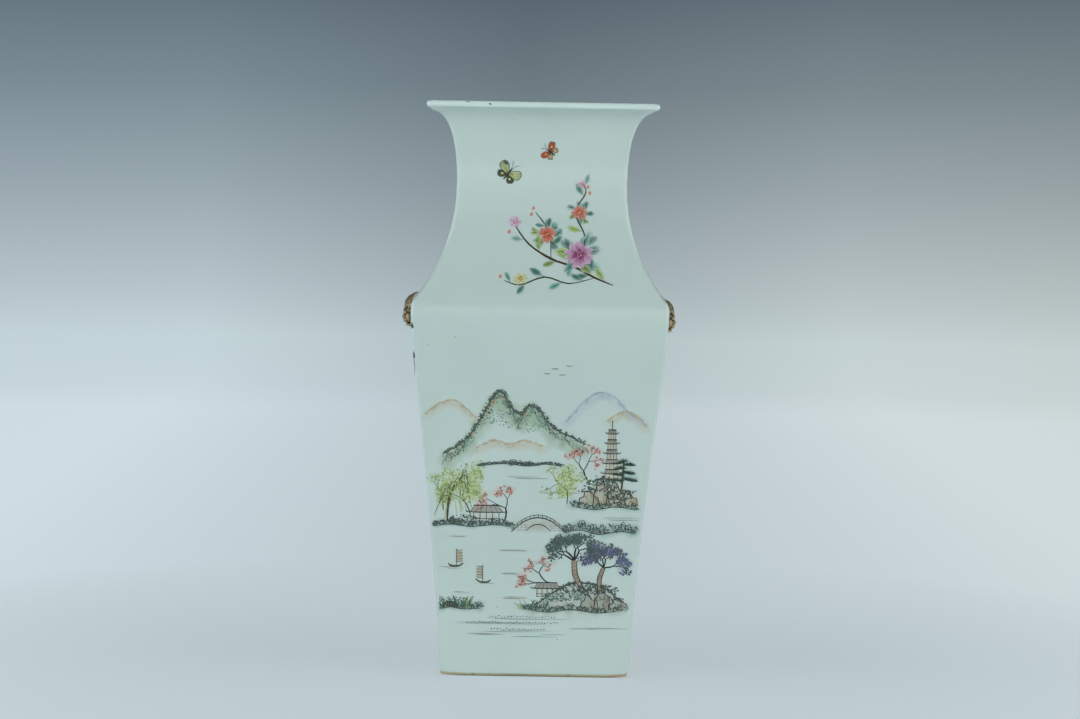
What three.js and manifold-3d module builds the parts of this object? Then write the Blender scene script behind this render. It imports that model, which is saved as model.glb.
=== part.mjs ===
// Square porcelain vase, slab built: four tapering body slabs, four flaring neck slabs, lip strips,
// foot strips, a recessed base, coils pressed into the inside seams, and two moulded beast masks.
// Millimetres, +Z up. The origin is the centre of the foot. The front faces -Y.
import * as THREE from "three";
import { mergeVertices } from "three/addons/utils/BufferGeometryUtils.js";
import Module from "manifold-3d";

const wasm = await Module();
wasm.setup();

// Heights above the table
const footHeight = 9;
const shoulderHeight = 378;
const waistHeight = 494.5;
const neckTopHeight = 569.5;
const lipThickness = 5.2;

// Half widths of the square, outside
const footHalf = 94;
const shoulderHalf = 128;
const waistHalf = 85.2;
const neckTopHalf = 113;
const lipHalf = 115.5;

// Shape of the side lines
const bodyLean = 12;
const bodyLeanHeight = 200;
const bodyTopRun = 57;
const shoulderAngle = THREE.MathUtils.degToRad(40);
const shoulderRadius = 9;
const neckLowerHandle = 9;
const neckLowerWaistHandle = 67;
const neckUpperWaistHandle = 72.5;
const neckUpperHandle = 7;
const neckTopAngle = THREE.MathUtils.degToRad(54);

// Walls and edges
const bodyWall = 7;
const neckWall = 6.5;
const cornerRadius = 4.5;
const lipCornerRadius = 3.5;
const footWidth = 13;
const footEdge = 1.2;
const baseThickness = 7;
const seam = 0.3;

// Coils in the inside seams
const coilLeg = 9;
const coilEndRoom = 3;
const neckCoilTall = 106;

// Masks on the left and right shoulder
const maskDrop = 16;
const maskHeight = shoulderHeight - maskDrop;
const maskWidth = 31;
const maskDepth = 13.6;
const maskTall = 36;
const padThickness = 1.8;
const padMargin = 1;

const kerf = seam / Math.SQRT2;

// Steps of the curves
const bodySteps = 14;
const shoulderSteps = 5;
const neckSteps = 12;
const cornerSteps = 3;
const roundSteps = 4;

const glaze = { color: 0xc3d3cf, roughness: 0.18, metalness: 0 };
const biscuit = { color: 0x6b5a44, roughness: 0.85, metalness: 0 };
const slip = { color: 0xd8cdc2, roughness: 0.5, metalness: 0 };
const gilt = { color: 0xa07c3c, roughness: 0.42, metalness: 0.85 };

const vase = new THREE.Group();

function addPiece(name, geometry, look) {
  const mesh = new THREE.Mesh(geometry, new THREE.MeshStandardMaterial(look));
  mesh.name = name;
  vase.add(mesh);
  return mesh;
}

// Points of a cubic curve in the (half width, height) plane
function curvePoints(a, b, c, d, steps) {
  const toVector = ([x, y]) => new THREE.Vector2(x, y);
  const curve = new THREE.CubicBezierCurve(toVector(a), toVector(b), toVector(c), toVector(d));
  return curve.getPoints(steps).map((p) => [p.x, p.y]);
}

// The point where the body line and the neck line would meet at the shoulder, before rounding
const shoulderTurn = shoulderRadius * Math.tan(shoulderAngle / 2);
const shoulderCorner = [shoulderHalf, shoulderHeight - shoulderTurn * Math.cos(shoulderAngle)];
const neckStart = [
  shoulderCorner[0] - shoulderTurn * Math.sin(shoulderAngle),
  shoulderCorner[1] + shoulderTurn * Math.cos(shoulderAngle),
];

// Outside line of the body, from just above the foot to the end of the rounded shoulder
function bodyLine() {
  const top = shoulderCorner[1] - shoulderTurn;
  const line = curvePoints(
    [footHalf, 0],
    [footHalf + bodyLean, bodyLeanHeight],
    [shoulderHalf, top - bodyTopRun],
    [shoulderHalf, top],
    bodySteps,
  );
  for (let i = 1; i <= shoulderSteps; i++) {
    const angle = (shoulderAngle * i) / shoulderSteps;
    line.push([
      shoulderHalf - shoulderRadius * (1 - Math.cos(angle)),
      top + shoulderRadius * Math.sin(angle),
    ]);
  }
  return line;
}

// Outside line of the neck, from the shoulder in to the waist and out again under the lip
function neckLine() {
  const lower = curvePoints(
    neckStart,
    [
      neckStart[0] - neckLowerHandle * Math.sin(shoulderAngle),
      neckStart[1] + neckLowerHandle * Math.cos(shoulderAngle),
    ],
    [waistHalf, waistHeight - neckLowerWaistHandle],
    [waistHalf, waistHeight],
    neckSteps,
  );
  const upper = curvePoints(
    [waistHalf, waistHeight],
    [waistHalf, waistHeight + neckUpperWaistHandle],
    [
      neckTopHalf - neckUpperHandle * Math.sin(neckTopAngle),
      neckTopHeight - neckUpperHandle * Math.cos(neckTopAngle),
    ],
    [neckTopHalf, neckTopHeight],
    neckSteps,
  );
  return lower.concat(upper.slice(1));
}

// Half width of a line at a height, by straight steps between its points
function halfAt(line, height) {
  for (let i = 1; i < line.length; i++) {
    const [x0, z0] = line[i - 1];
    const [x1, z1] = line[i];
    if (height <= z1) return x0 + ((x1 - x0) * (height - z0)) / (z1 - z0);
  }
  return line[line.length - 1][0];
}

// A line moved sideways by a distance: outwards where the distance is positive
function offsetLine(line, distance) {
  return line.map((point, i) => {
    const before = line[Math.max(i - 1, 0)];
    const after = line[Math.min(i + 1, line.length - 1)];
    const run = new THREE.Vector2(after[0] - before[0], after[1] - before[1]).normalize();
    return [point[0] + run.y * distance, point[1] - run.x * distance];
  });
}

// The part of a line between two heights, with exact ends
function cutLine(line, low, high) {
  const between = line.filter(([, z]) => z > low + seam && z < high - seam);
  return [[halfAt(line, low), low], ...between, [halfAt(line, high), high]];
}

const bodyOutside = bodyLine();
const bodyInside = offsetLine(bodyOutside, -bodyWall);
const neckOutside = neckLine();
const neckInside = offsetLine(neckOutside, -neckWall);

// One side of a square course. The section is a closed loop of [half width, height, corner radius],
// and the side runs across between the two mitre planes, a kerf short of each.
function mitredSide(section) {
  const rows = section.map(([x, z, radius = 0]) => {
    const end = x - kerf;
    const row = [];
    if (radius > 0) {
      const last = Math.acos(kerf / (radius * Math.SQRT2)) - Math.PI / 4;
      for (let j = 0; j <= cornerSteps; j++) {
        const angle = (last * j) / cornerSteps;
        row.push([x - radius + radius * Math.cos(angle), x - radius + radius * Math.sin(angle), z]);
      }
    } else {
      for (let j = 0; j <= cornerSteps; j++) {
        row.push([x, end - cornerRadius * (1 - j / cornerSteps), z]);
      }
    }
    const mirrored = row.map(([px, py, pz]) => [px, -py, pz]).reverse();
    return mirrored.concat(row);
  });
  const across = rows[0].length;
  const positions = rows.flat(2);
  const index = [];
  const at = (row, column) => (row % rows.length) * across + column;
  for (let i = 0; i < rows.length; i++) {
    for (let j = 0; j < across - 1; j++) {
      index.push(at(i, j), at(i, j + 1), at(i + 1, j + 1));
      index.push(at(i, j), at(i + 1, j + 1), at(i + 1, j));
    }
  }
  const outline = rows.map((row) => new THREE.Vector2(row[0][0], row[0][2]));
  for (const [a, b, c] of THREE.ShapeUtils.triangulateShape(outline, [])) {
    index.push(at(a, 0), at(b, 0), at(c, 0));
    index.push(at(a, across - 1), at(c, across - 1), at(b, across - 1));
  }
  const geometry = new THREE.BufferGeometry();
  geometry.setAttribute("position", new THREE.Float32BufferAttribute(positions, 3));
  geometry.setIndex(index);
  return geometry;
}

// The four sides, as quarter turns from +X
const sides = [
  ["right", 0],
  ["back", 1],
  ["left", 2],
  ["front", 3],
];

function addCourse(name, section, look) {
  for (const [side, turns] of sides) {
    const piece = addPiece(name + "_" + side, mitredSide(section), look);
    piece.rotation.z = (turns * Math.PI) / 2;
  }
}

function wallSection(outside, inside, low, high) {
  const outer = cutLine(outside, low, high).map(([x, z]) => [x, z, cornerRadius]);
  const inner = cutLine(inside, low, high).reverse();
  return outer.concat(inner);
}

// Solid from a closed geometry, for joins and cuts
function toSolid(geometry) {
  const plain = geometry.clone();
  plain.deleteAttribute("normal");
  plain.deleteAttribute("uv");
  const merged = mergeVertices(plain, 1e-4);
  return new wasm.Manifold(
    new wasm.Mesh({
      numProp: 3,
      vertProperties: merged.attributes.position.array,
      triVerts: new Uint32Array(merged.index.array),
    }),
  );
}

function toGeometry(solid) {
  const mesh = solid.getMesh();
  const geometry = new THREE.BufferGeometry();
  geometry.setAttribute("position", new THREE.BufferAttribute(mesh.vertProperties, 3));
  geometry.setIndex(new THREE.BufferAttribute(mesh.triVerts, 1));
  return geometry;
}

// A coil pressed into the inside corner of two walls, from a low height to a high one
function seamCoil(inside, low, high) {
  const line = cutLine(inside, low, high);
  const rows = line.map(([x, z]) => {
    const corner = x - seam;
    const row = [[corner, corner, z]];
    for (let i = 0; i <= roundSteps; i++) {
      const angle = (Math.PI / 2) * (i / roundSteps);
      row.push([corner - coilLeg * Math.cos(angle), corner - coilLeg * Math.sin(angle), z]);
    }
    return row;
  });
  const around = rows[0].length;
  const index = [];
  for (let i = 0; i < rows.length - 1; i++) {
    for (let j = 0; j < around; j++) {
      const a = i * around + j;
      const b = i * around + ((j + 1) % around);
      index.push(a, b, b + around, a, b + around, a + around);
    }
  }
  const top = (rows.length - 1) * around;
  for (let j = 1; j < around - 1; j++) {
    index.push(0, j + 1, j);
    index.push(top, top + j, top + j + 1);
  }
  const geometry = new THREE.BufferGeometry();
  geometry.setAttribute("position", new THREE.Float32BufferAttribute(rows.flat(2), 3));
  geometry.setIndex(index);
  return geometry;
}

function addCoils(name, inside, low, high) {
  const corners = ["back_right", "back_left", "front_left", "front_right"];
  corners.forEach((corner, turns) => {
    const piece = addPiece(name + "_" + corner, seamCoil(inside, low, high), glaze);
    piece.rotation.z = (turns * Math.PI) / 2;
  });
}

// Everything inside the outer wall line moved out by a clearance, as a thick block across one side
function wallBlock(clearance) {
  const nearMask = neckOutside.filter(([, z]) => z > shoulderHeight + seam && z < maskHeight + maskTall);
  const line = offsetLine(bodyOutside.concat(nearMask), clearance);
  const shape = new THREE.Shape();
  shape.moveTo(0, line[0][1]);
  line.forEach(([x, z]) => shape.lineTo(x, z));
  shape.lineTo(0, line[line.length - 1][1]);
  const block = new THREE.ExtrudeGeometry(shape, { depth: 2 * maskWidth, bevelEnabled: false });
  block.rotateX(Math.PI / 2);
  block.translate(0, maskWidth, 0);
  return toSolid(block);
}

// An ellipsoid on the right shoulder. Places and radii are shares of the mask's own depth out from
// the wall, half width across and half height up from its middle.
function lump([out, across, up], [deep, wide, tall], tilt = 0) {
  const ball = new THREE.IcosahedronGeometry(1, 2);
  ball.scale(deep * maskDepth, (wide * maskWidth) / 2, (tall * maskTall) / 2);
  ball.rotateX(tilt);
  ball.translate(
    shoulderHalf + out * maskDepth,
    (across * maskWidth) / 2,
    maskHeight + (up * maskTall) / 2,
  );
  return toSolid(ball);
}

// A beast's head: skull with a tapering crest, snout and jaw, then brows, eyes, ears and a curly mane
function maskSolid() {
  let solid = lump([0.15, 0, 0.1], [0.66, 0.76, 0.74]);
  const add = (...values) => {
    solid = solid.add(lump(...values));
  };
  add([0.11, 0, 0.58], [0.42, 0.4, 0.46]);
  add([0.7, 0, -0.12], [0.19, 0.15, 0.34]);
  add([0.64, 0, -0.45], [0.36, 0.42, 0.26]);
  add([0.4, 0, -0.76], [0.32, 0.34, 0.15]);
  for (const side of [-1, 1]) {
    add([0.58, side * 0.36, 0.24], [0.26, 0.34, 0.13], side * 0.35);
    add([0.68, side * 0.31, 0], [0.17, 0.15, 0.13]);
    add([0.86, side * 0.15, -0.4], [0.14, 0.13, 0.11]);
    add([0.5, side * 0.4, -0.5], [0.3, 0.24, 0.2]);
    add([0.3, side * 0.74, 0.44], [0.25, 0.17, 0.25], side * -0.5);
    const curls = 6;
    for (let i = 0; i < curls; i++) {
      const angle = THREE.MathUtils.degToRad(62 - 26 * i);
      add([0.16, side * 0.82 * Math.cos(angle), 0.8 * Math.sin(angle)], [0.27, 0.23, 0.19]);
    }
  }
  return solid;
}

// The slip pad that lutes the mask to the shoulder
function padSolid() {
  const disc = new THREE.CylinderGeometry(1, 1, shoulderHalf, 32);
  disc.rotateZ(Math.PI / 2);
  disc.scale(1, maskWidth / 2 + padMargin, maskTall / 2 + padMargin);
  disc.translate(shoulderHalf, 0, maskHeight);
  return toSolid(disc);
}

function addMasks() {
  const pad = padSolid().intersect(wallBlock(seam + padThickness)).subtract(wallBlock(seam));
  const mask = maskSolid().subtract(wallBlock(2 * seam + padThickness));
  for (const [side, turn] of [["right", 0], ["left", Math.PI]]) {
    addPiece("mask_pad_" + side, toGeometry(pad), slip).rotation.z = turn;
    addPiece("mask_" + side, toGeometry(mask), gilt).rotation.z = turn;
  }
}

function addFoot() {
  const inner = footHalf - footWidth;
  addCourse(
    "foot",
    [
      [footHalf - footEdge, 0, cornerRadius],
      [footHalf, footEdge, cornerRadius],
      [halfAt(bodyOutside, footHeight), footHeight, cornerRadius],
      [inner, footHeight],
      [inner, footEdge],
      [inner + footEdge, 0],
    ],
    biscuit,
  );
}

function addBase() {
  const low = footHeight + seam;
  const half = halfAt(bodyInside, low) - seam;
  const slab = new THREE.BoxGeometry(2 * half, 2 * half, baseThickness);
  addPiece("base_slab", slab, glaze).position.z = low + baseThickness / 2;
}

// Points on a quarter or half circle in the (half width, height) plane
function arcPoints(x, z, radius, from, to, steps) {
  const points = [];
  for (let i = 0; i <= steps; i++) {
    const angle = from + ((to - from) * i) / steps;
    points.push([x + radius * Math.cos(angle), z + radius * Math.sin(angle)]);
  }
  return points;
}

function addLip() {
  const low = neckTopHeight + seam;
  const round = lipThickness / 2;
  const middle = low + round;
  const inner = halfAt(neckInside, neckTopHeight);
  const quarter = Math.PI / 2;
  const outside = arcPoints(lipHalf - round, middle, round, -quarter, quarter, 2 * roundSteps);
  const inside = arcPoints(inner + round, middle, round, quarter, 2 * quarter, roundSteps);
  const rounded = outside.map(([x, z]) => [x, z, lipCornerRadius]);
  addCourse("lip", [...rounded, ...inside, [inner, low]], glaze);
}

addFoot();
addBase();
addCourse("body_panel", wallSection(bodyOutside, bodyInside, footHeight + seam, shoulderHeight), glaze);
const neckLow = shoulderHeight + seam;
addCourse("neck_panel", wallSection(neckOutside, neckInside, neckLow, neckTopHeight), glaze);
addLip();
const baseTop = footHeight + seam + baseThickness;
addCoils("body_seam", bodyInside, baseTop + seam, shoulderHeight - bodyWall - coilEndRoom);
const neckCoilLow = neckLow + neckWall + coilEndRoom;
addCoils("neck_seam", neckInside, neckCoilLow, neckCoilLow + neckCoilTall);
addMasks();

export default vase;
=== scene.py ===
"""A square porcelain vase: pale glaze over its slabs, a bare foot rim, gilt masks and enamel painting."""
import math
import random
from bisect import bisect_left

import bpy
import numpy as np
from mathutils import Matrix, Vector, noise


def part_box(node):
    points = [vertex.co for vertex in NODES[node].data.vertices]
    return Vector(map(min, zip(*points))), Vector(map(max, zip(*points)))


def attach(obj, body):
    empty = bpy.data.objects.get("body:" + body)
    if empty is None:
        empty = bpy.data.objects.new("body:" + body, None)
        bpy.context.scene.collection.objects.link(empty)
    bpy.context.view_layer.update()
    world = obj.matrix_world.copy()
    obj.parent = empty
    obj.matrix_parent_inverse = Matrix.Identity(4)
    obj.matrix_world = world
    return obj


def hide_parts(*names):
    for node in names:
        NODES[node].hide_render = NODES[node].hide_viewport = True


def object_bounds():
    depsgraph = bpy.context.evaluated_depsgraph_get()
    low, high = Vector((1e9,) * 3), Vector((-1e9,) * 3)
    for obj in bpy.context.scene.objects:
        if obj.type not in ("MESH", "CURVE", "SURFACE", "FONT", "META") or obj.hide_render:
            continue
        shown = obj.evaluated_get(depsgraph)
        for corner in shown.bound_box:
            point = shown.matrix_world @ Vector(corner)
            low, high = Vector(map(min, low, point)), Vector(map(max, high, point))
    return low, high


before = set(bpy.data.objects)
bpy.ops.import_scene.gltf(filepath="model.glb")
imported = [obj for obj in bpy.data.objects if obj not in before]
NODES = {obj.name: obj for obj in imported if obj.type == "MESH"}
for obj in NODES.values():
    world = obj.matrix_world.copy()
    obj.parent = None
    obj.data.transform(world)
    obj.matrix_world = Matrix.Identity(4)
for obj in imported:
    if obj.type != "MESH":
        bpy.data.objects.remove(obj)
CAD_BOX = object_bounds()
SIDES = ("front", "right", "back", "left")
CORNERS = ("back_right", "back_left", "front_left", "front_right")
MM = 0.001
EXACT = 0.00005
MERGE = EXACT / 5
SMOOTH_ANGLE = math.radians(40)
SKIN_DEPTH = 1.5 * MM
PAINTED_HEIGHTS = ((0.03, 0.31), (0.385, 0.56))

bl_info = {
    "name": "Square Vase",
    "version": (1, 1, 0),
    "blender": (4, 5, 0),
    "location": "3D View > Sidebar > Square Vase",
    "description": "Glaze, foot, masks, painting and stage for a square porcelain vase",
    "category": "Object",
}


class SquareVaseBody(bpy.types.PropertyGroup):
    corner: bpy.props.FloatProperty(
        name="Corner radius",
        description="Radius of the outside upright corners",
        default=0.0045,
        unit="LENGTH",
    )
    inner_corner: bpy.props.FloatProperty(
        name="Inside corner radius",
        description="Radius left inside by the seam coils",
        default=0.009,
        unit="LENGTH",
    )
    glaze_end: bpy.props.FloatProperty(
        name="Glaze line",
        description="Height above the table where the glaze stops",
        default=0.0028,
        unit="LENGTH",
    )
    waver: bpy.props.FloatProperty(
        name="Waver",
        description="How far the hand-cut slabs wander from flat",
        default=0.0003,
        unit="LENGTH",
    )
    glaze: bpy.props.FloatVectorProperty(
        name="Glaze colour",
        description="Pale grey-green glaze",
        default=(0.512, 0.632, 0.594),
        size=3,
        subtype="COLOR",
    )
    lip_roll: bpy.props.FloatProperty(
        name="Lip roll",
        description="How far the glaze rolls down under the edge of the lip",
        default=0.0012,
        unit="LENGTH",
    )
    corner_rise: bpy.props.FloatProperty(
        name="Foot corner rise",
        description="How far the corners of the foot lift off the table after firing",
        default=0.0018,
        unit="LENGTH",
    )
    clay: bpy.props.FloatVectorProperty(
        name="Foot colour",
        description="Bare buff clay of the foot rim",
        default=(0.44, 0.42, 0.26),
        size=3,
        subtype="COLOR",
    )


class SquareVaseMasks(bpy.types.PropertyGroup):
    grain: bpy.props.FloatProperty(
        name="Modelling grain",
        description="Finest detail kept in the modelled heads",
        default=0.0004,
        unit="LENGTH",
    )
    uneven: bpy.props.FloatProperty(
        name="Uneven height",
        description="How much lower the right mask was stuck on than the left one",
        default=0.002,
        unit="LENGTH",
    )
    gilt: bpy.props.FloatVectorProperty(
        name="Gilding colour",
        description="Worn gold on the high places of the masks",
        default=(0.40, 0.31, 0.17),
        size=3,
        subtype="COLOR",
    )
    hollow_shade: bpy.props.FloatVectorProperty(
        name="Hollow colour",
        # Brown-black that the masks darken to in their hollows, a painted shade
        description="Brown-black enamel left in the hollows of the masks",
        default=(0.03, 0.022, 0.01),
        size=3,
        subtype="COLOR",
    )


class SquareVaseStage(bpy.types.PropertyGroup):
    distance: bpy.props.FloatProperty(
        name="Camera distance",
        description="From the camera to the upright axis of the vase",
        default=3.2,
        unit="LENGTH",
    )
    height: bpy.props.FloatProperty(
        name="Camera height",
        description="Above the table",
        default=0.5,
        unit="LENGTH",
    )
    turn: bpy.props.FloatProperty(
        name="Camera turn",
        description="How far the camera stands round to the left",
        default=math.radians(0.4),
        subtype="ANGLE",
    )
    roll: bpy.props.FloatProperty(
        name="Camera roll",
        description="Lean of the picture",
        default=math.radians(0.99),
        subtype="ANGLE",
    )
    lens: bpy.props.FloatProperty(
        name="Lens",
        description="Focal length in millimetres on a 36 mm sensor",
        default=103.9,
    )
    light: bpy.props.FloatProperty(
        name="Light",
        description="Strength of all the lamps together",
        default=1.0,
    )


def start_edit(piece, mode="FACE"):
    """Leaves one mesh in edit mode with nothing selected."""
    bpy.context.view_layer.objects.active = piece
    bpy.ops.object.mode_set(mode="EDIT")
    bpy.ops.mesh.select_mode(type=mode)
    bpy.ops.mesh.select_all(action="DESELECT")


def stop_edit():
    bpy.ops.object.mode_set(mode="OBJECT")


def clear_selection():
    if bpy.context.object and bpy.context.object.mode != "OBJECT":
        stop_edit()
    bpy.ops.object.select_all(action="DESELECT")


def select_only(piece):
    clear_selection()
    piece.select_set(True)
    bpy.context.view_layer.objects.active = piece


def place_in_mesh(piece):
    """Puts the object's place, turn and scale into its mesh."""
    select_only(piece)
    bpy.ops.object.transform_apply(location=True, rotation=True, scale=True)


def choose_edges(piece, wanted):
    """Selects the edges for which wanted(first point, second point) is true, and enters edit mode."""
    start_edit(piece, "EDGE")
    stop_edit()
    points = piece.data.vertices
    for edge in piece.data.edges:
        a, b = edge.vertices
        edge.select = wanted(points[a].co, points[b].co)
    bpy.ops.object.mode_set(mode="EDIT")


def choose_faces(piece, wanted):
    """Selects the faces for which wanted(face) is true, and enters edit mode."""
    start_edit(piece, "FACE")
    stop_edit()
    for face in piece.data.polygons:
        face.select = wanted(face)
    bpy.ops.object.mode_set(mode="EDIT")


def point_faces_outwards(piece):
    start_edit(piece)
    bpy.ops.mesh.select_all(action="SELECT")
    bpy.ops.mesh.normals_make_consistent(inside=False)
    stop_edit()


def finish_piece(piece, name, material, replaced=()):
    place_in_mesh(piece)
    piece.name = name
    piece.data.name = name
    piece.data.materials.clear()
    piece.data.materials.append(material)
    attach(piece, "root")
    if replaced:
        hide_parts(*replaced)


def half_width(node, height, outside=True):
    """Half width of a right-hand slab at a height, on its outer or inner face."""
    start, way = (0.4, -1.0) if outside else (0.0, 1.0)
    hit, place, _, _ = NODES[node].ray_cast(Vector((start, 0.0, height)), Vector((way, 0.0, 0.0)))
    if not hit:
        raise RuntimeError(f"no wall of {node} at height {height:.4f}")
    return place.x


def node_heights(node):
    low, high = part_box(node)
    return low[2], high[2]


def wall_stations(node, step, outside=True, margin=0.0002):
    """(half width, height) up one slab, about a step apart."""
    low, high = node_heights(node)
    low, high = low + margin, high - margin
    count = max(1, round((high - low) / step))
    levels = [low + (high - low) * i / count for i in range(count + 1)]
    return [(half_width(node, z, outside), z) for z in levels]


def arc(x, z, radius, start, end, steps):
    """Points of a quarter or half circle, angles in degrees from the outward level."""
    angles = [math.radians(start + (end - start) * i / steps) for i in range(steps + 1)]
    return [(x + radius * math.cos(a), z + radius * math.sin(a)) for a in angles]


def outside_stations(glaze_end, lip_roll):
    """From the recess under the base, round the glazed foot and up the wall to the top of the lip."""
    recess = -Vector(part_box("foot_left")[1]).x
    under = Vector(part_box("base_slab")[0]).z
    line = [(recess, under), (recess, glaze_end)]
    foot_edge, from_edge = 0.6 * MM, 1.5 * MM
    outer = half_width("foot_right", glaze_end + from_edge)
    line += arc(outer - foot_edge, glaze_end + foot_edge, foot_edge, -90, 0, 3)
    foot_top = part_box("foot_right")[1][2] - from_edge
    line.append((half_width("foot_right", foot_top), foot_top))
    line += wall_stations("body_panel_right", 5 * MM)
    low, high = node_heights("lip_right")
    round_edge = (high - low) / 2
    outer = half_width("lip_right", (low + high) / 2)
    low -= lip_roll
    neck_top = min(low, node_heights("neck_panel_right")[1]) - 0.2 * MM
    line += [(half, z) for half, z in wall_stations("neck_panel_right", 4.5 * MM) if z < neck_top - MM]
    line.append((half_width("neck_panel_right", neck_top), neck_top))
    line += arc(outer - round_edge, low + round_edge, round_edge, -90, 0, 5)
    top = arc(outer - round_edge, high - round_edge, round_edge, 0, 90, 5)
    return line + (top if lip_roll > EXACT else top[1:])


WALL = [(half, z) for half, z in outside_stations(0.0, 0.0) if z > 5 * MM]
WALL_HEIGHTS = [z for _, z in WALL]


def wall_at(height):
    """Half width of the glazed wall at a height, and how fast it widens upwards."""
    i = min(max(bisect_left(WALL_HEIGHTS, height), 1), len(WALL) - 1)
    (low_half, low), (high_half, high) = WALL[i - 1], WALL[i]
    slope = (high_half - low_half) / (high - low)
    return low_half + slope * (height - low), slope


def inside_stations():
    """From the inner edge of the lip down the inside of the wall to the floor."""
    low, high = node_heights("lip_right")
    round_edge = (high - low) / 2
    middle = (low + high) / 2
    inner = half_width("lip_right", middle, outside=False)
    line = arc(inner + round_edge, middle, round_edge, 90, 180, 5)
    line += reversed(wall_stations("neck_panel_right", 9 * MM, outside=False))
    line += reversed(wall_stations("body_panel_right", 16 * MM, outside=False))
    floor = Vector(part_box("base_slab")[1]).z
    line = [(half, z) for half, z in line if z > floor + MM]
    return line + [(line[-1][0], floor)]


def extrude_along(stations):
    """Extrudes what is selected from the first station to the last, and resizes it at each."""
    for (half, height), (next_half, next_height) in zip(stations, stations[1:]):
        rise = (0, 0, next_height - height)
        bpy.ops.mesh.extrude_region_move(TRANSFORM_OT_translate={"value": rise})
        ratio = next_half / half
        bpy.ops.transform.resize(value=(ratio, ratio, 1))


def sweep_square(stations):
    """A closed square shell: a plane is copied, and the copy is extruded and resized along the stations."""
    half, height = stations[0]
    bpy.ops.mesh.primitive_plane_add(size=2 * half, location=(0, 0, height))
    shell = bpy.context.object
    place_in_mesh(shell)
    start_edit(shell)
    bpy.ops.mesh.select_all(action="SELECT")
    bpy.ops.mesh.duplicate()
    extrude_along(stations)
    bpy.ops.mesh.select_all(action="SELECT")
    bpy.ops.mesh.remove_doubles(threshold=MERGE)
    stop_edit()
    return shell


def round_corners(shell, stations, radius, segments):
    """Bevels the chain of corner edges that runs along the stations."""

    def station_of(point):
        x, y, z = abs(point.x), abs(point.y), point.z
        for i, (half, height) in enumerate(stations):
            if abs(z - height) < EXACT and abs(x - half) < EXACT and abs(y - half) < EXACT:
                return i
        return None

    def in_chain(a, b):
        if a.x * b.x < 0 or a.y * b.y < 0:
            return False
        first, second = station_of(a), station_of(b)
        return first is not None and second is not None and abs(first - second) == 1

    choose_edges(shell, in_chain)
    bpy.ops.mesh.bevel(
        offset=radius, offset_type="OFFSET", segments=segments, affect="EDGES", clamp_overlap=False
    )
    stop_edit()


def divide_across(shell, columns):
    """Cuts every flat side into upright columns."""

    def runs_across(a, b):
        level = abs(a.z - b.z) < EXACT
        along_x = abs(a.y - b.y) < EXACT
        along_y = abs(a.x - b.x) < EXACT
        return level and along_x != along_y and (a - b).length > 0.1

    choose_edges(shell, runs_across)
    bpy.ops.mesh.subdivide(number_cuts=columns - 1)
    stop_edit()


def settled(place, waver):
    """A point of a slab, moved a little inwards, as hand-cut and fired slabs wander from flat."""
    push = 0.5 + 0.5 * noise.noise(place * 11.0)
    reach = min(1.0, max(0.0, (place.z - 0.01) / 0.05))
    return place - Vector((place.x, place.y, 0.0)).normalized() * (waver * push * reach)


def raise_corners(piece, rise):
    """Lifts the corners of the foot a little off the table, as they warp in the kiln."""
    reach, height = 26 * MM, 30 * MM
    half = half_width("foot_right", 4 * MM)
    for vertex in piece.data.vertices:
        x, y, z = vertex.co
        near = max(0.0, 1 - math.hypot(half - abs(x), half - abs(y)) / reach)
        vertex.co.z += rise * near**2 * max(0.0, 1 - z / height)


def divide_painted(shell):
    """Cuts the front finer where washes of colour are laid on it."""

    def is_painted(face):
        level = face.center.z
        painted = any(low < level < high for low, high in PAINTED_HEIGHTS)
        return painted and face.normal.y < -0.5 and face.center.y < SKIN_DEPTH - wall_at(level)[0]

    choose_faces(shell, is_painted)
    bpy.ops.mesh.subdivide(number_cuts=1)
    stop_edit()


def node_in(tree, kind, **settings):
    made = tree.nodes.new(kind)
    for key, value in settings.items():
        if key in made.inputs.keys():
            made.inputs[key].default_value = value
        else:
            setattr(made, key, value)
    return made


def new_material(name):
    material = bpy.data.materials.new(name)
    material.use_nodes = True
    tree = material.node_tree
    return material, tree, tree.nodes["Principled BSDF"]


def ramp_colour(tree, factor, stops):
    """A colour that runs through the stops as a socket goes from 0 to 1."""
    ramp = tree.nodes.new("ShaderNodeValToRGB")
    points = ramp.color_ramp.elements
    while len(points) < len(stops):
        points.new(0.5)
    for point, (place, colour) in zip(points, stops):
        point.position = place
        point.color = (*colour, 1.0)
    tree.links.new(factor, ramp.inputs["Fac"])
    return ramp.outputs["Color"]


def remap(tree, value, low, high, start=0.0, end=1.0):
    """Turns the range low to high of a socket into start to end."""
    ranged = tree.nodes.new("ShaderNodeMapRange")
    for name, number in (("From Min", low), ("From Max", high), ("To Min", start), ("To Max", end)):
        ranged.inputs[name].default_value = number
    tree.links.new(value, ranged.inputs["Value"])
    return ranged.outputs["Result"]


def maths(tree, operation, first, second):
    """One sum on two sockets."""
    made = node_in(tree, "ShaderNodeMath", operation=operation)
    tree.links.new(first, made.inputs[0])
    tree.links.new(second, made.inputs[1])
    return made.outputs["Value"]


def grey(level):
    return (level,) * 3


def scaled(colour, factor):
    return tuple(min(1.0, channel * factor) for channel in colour)


def blend(first, second, share):
    return tuple(a + (b - a) * share for a, b in zip(first, second))


def add_bump(tree, shader, height, strength, distance):
    bump = node_in(tree, "ShaderNodeBump", Strength=strength, Distance=distance)
    tree.links.new(height, bump.inputs["Height"])
    tree.links.new(bump.outputs["Normal"], shader.inputs["Normal"])


def place_on_object(tree):
    """The place on the object, whole and as X, Y and Z."""
    place = tree.nodes.new("ShaderNodeTexCoord").outputs["Object"]
    split = tree.nodes.new("ShaderNodeSeparateXYZ")
    tree.links.new(place, split.inputs["Vector"])
    return place, split.outputs


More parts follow.
